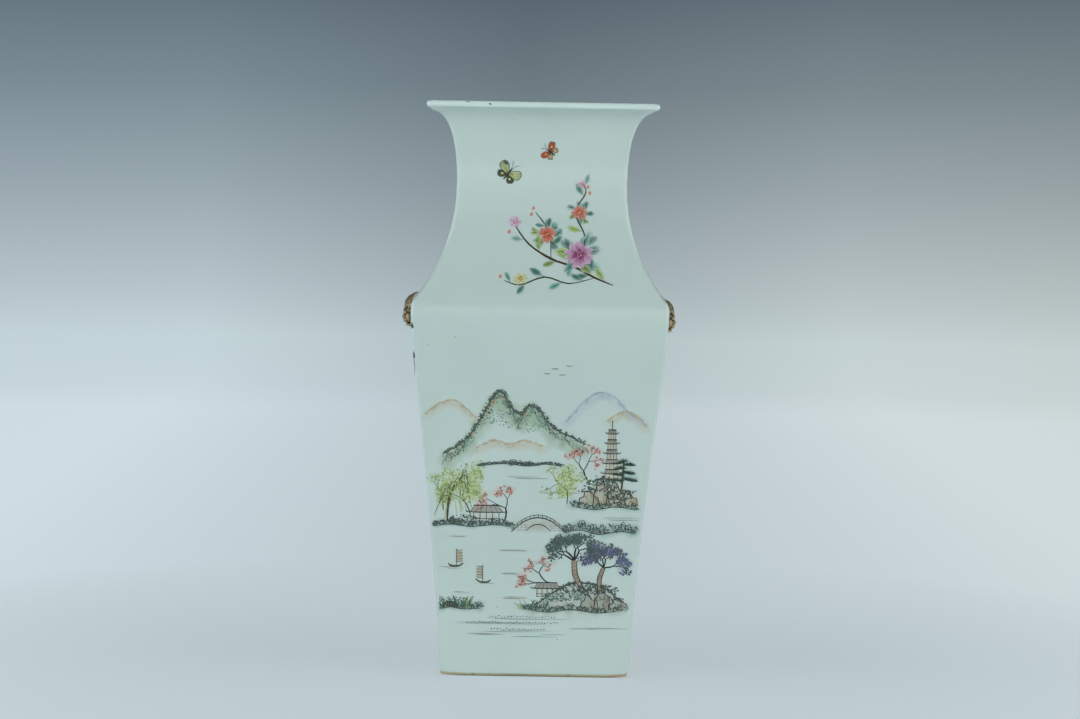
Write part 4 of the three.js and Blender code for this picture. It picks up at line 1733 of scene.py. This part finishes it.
def add_lamp(name, place, size, power):
    bpy.ops.object.light_add(type="AREA", location=place)
    lamp = bpy.context.object
    lamp.name = name
    lamp.data.shape = "RECTANGLE"
    lamp.data.size, lamp.data.size_y = size
    lamp.data.energy = power
    turn = (Vector((0, 0, 0.3)) - Vector(place)).to_track_quat("-Z", "Y")
    lamp.rotation_euler = turn.to_euler()
    lamp.visible_camera = False
    return lamp


class SQUAREVASE_OT_stage(bpy.types.Operator):
    """Floor, lamps and camera"""

    bl_idname = "squarevase.stage"
    bl_label = "Stage"

    def execute(self, context):
        settings = context.scene.square_vase_stage
        scene = context.scene
        add_sweep()
        for name, side in (("left", -1), ("right", 1)):
            add_lamp(f"{name}_card", (2.2 * side, -0.7, 1.05), (3.2, 2.0), 22 * settings.light)
            # The soft lamp stands nearer, because a card throws its shadow.
            lamp = add_lamp(f"{name}_soft", (2.1 * side, -0.67, 1.02), (3.1, 1.9), 15 * settings.light)
            lamp.visible_glossy = False
        add_lamp("top_soft", (0, 0, 2.8), (2.4, 2.4), 5 * settings.light).visible_glossy = False
        for name, side in (("front", -1), ("back", 1)):
            card = add_lamp(f"{name}_card", (0, 3.35 * side, 0.8), (5.0, 1.5), 10 * settings.light)
            # The card behind the vase would mirror as a white line under the lip.
            card.visible_glossy = side < 0
            lamp = add_lamp(f"{name}_soft", (0, 3.4 * side, 0.4), (2.4, 0.6), 32 * settings.light)
            lamp.visible_glossy = False
        world = bpy.data.worlds.new("studio_air")
        world.use_nodes = True
        world.node_tree.nodes["Background"].inputs["Color"].default_value = (0.84, 0.86, 0.86, 1)
        world.node_tree.nodes["Background"].inputs["Strength"].default_value = 0.3
        scene.world = world
        scene.view_settings.view_transform = "Standard"
        place = Vector(
            (
                -settings.distance * math.sin(settings.turn),
                -settings.distance * math.cos(settings.turn),
                settings.height,
            )
        )
        aim = Vector((0.0007, -0.128, 0.3211))
        data = bpy.data.cameras.new("camera")
        data.sensor_width = 36.0
        data.lens = settings.lens
        data.clip_end = 50
        camera = bpy.data.objects.new("camera", data)
        scene.collection.objects.link(camera)
        turn = (aim - place).to_track_quat("-Z", "Y").to_matrix().to_4x4()
        camera.matrix_world = Matrix.Translation(place) @ turn @ Matrix.Rotation(settings.roll, 4, "Z")
        scene.camera = camera
        return {"FINISHED"}


class SQUAREVASE_PT_panel(bpy.types.Panel):
    """Sizes, colours and steps of the square vase"""

    bl_label = "Square Vase"
    bl_idname = "SQUAREVASE_PT_panel"
    bl_space_type = "VIEW_3D"
    bl_region_type = "UI"
    bl_category = "Square Vase"

    def draw(self, context):
        layout = self.layout
        for group in GROUPS:
            settings = getattr(context.scene, group)
            for name in settings.__annotations__:
                layout.prop(settings, name)
        for step in STEPS:
            layout.operator(f"squarevase.{step}")


GROUPS = {
    "square_vase_body": SquareVaseBody,
    "square_vase_masks": SquareVaseMasks,
    "square_vase_stage": SquareVaseStage,
}
STEPS = ("skin", "foot", "masks", "painting", "stage")
CLASSES = (
    *GROUPS.values(),
    SQUAREVASE_OT_skin,
    SQUAREVASE_OT_foot,
    SQUAREVASE_OT_masks,
    SQUAREVASE_OT_painting,
    SQUAREVASE_OT_stage,
    SQUAREVASE_PT_panel,
)


def register():
    for cls in CLASSES:
        bpy.utils.register_class(cls)
    for name, group in GROUPS.items():
        setattr(bpy.types.Scene, name, bpy.props.PointerProperty(type=group))


def unregister():
    for name in GROUPS:
        delattr(bpy.types.Scene, name)
    for cls in reversed(CLASSES):
        bpy.utils.unregister_class(cls)


def main():
    register()
    for step in STEPS:
        getattr(bpy.ops.squarevase, step)()


if __name__ == "__main__":
    main()
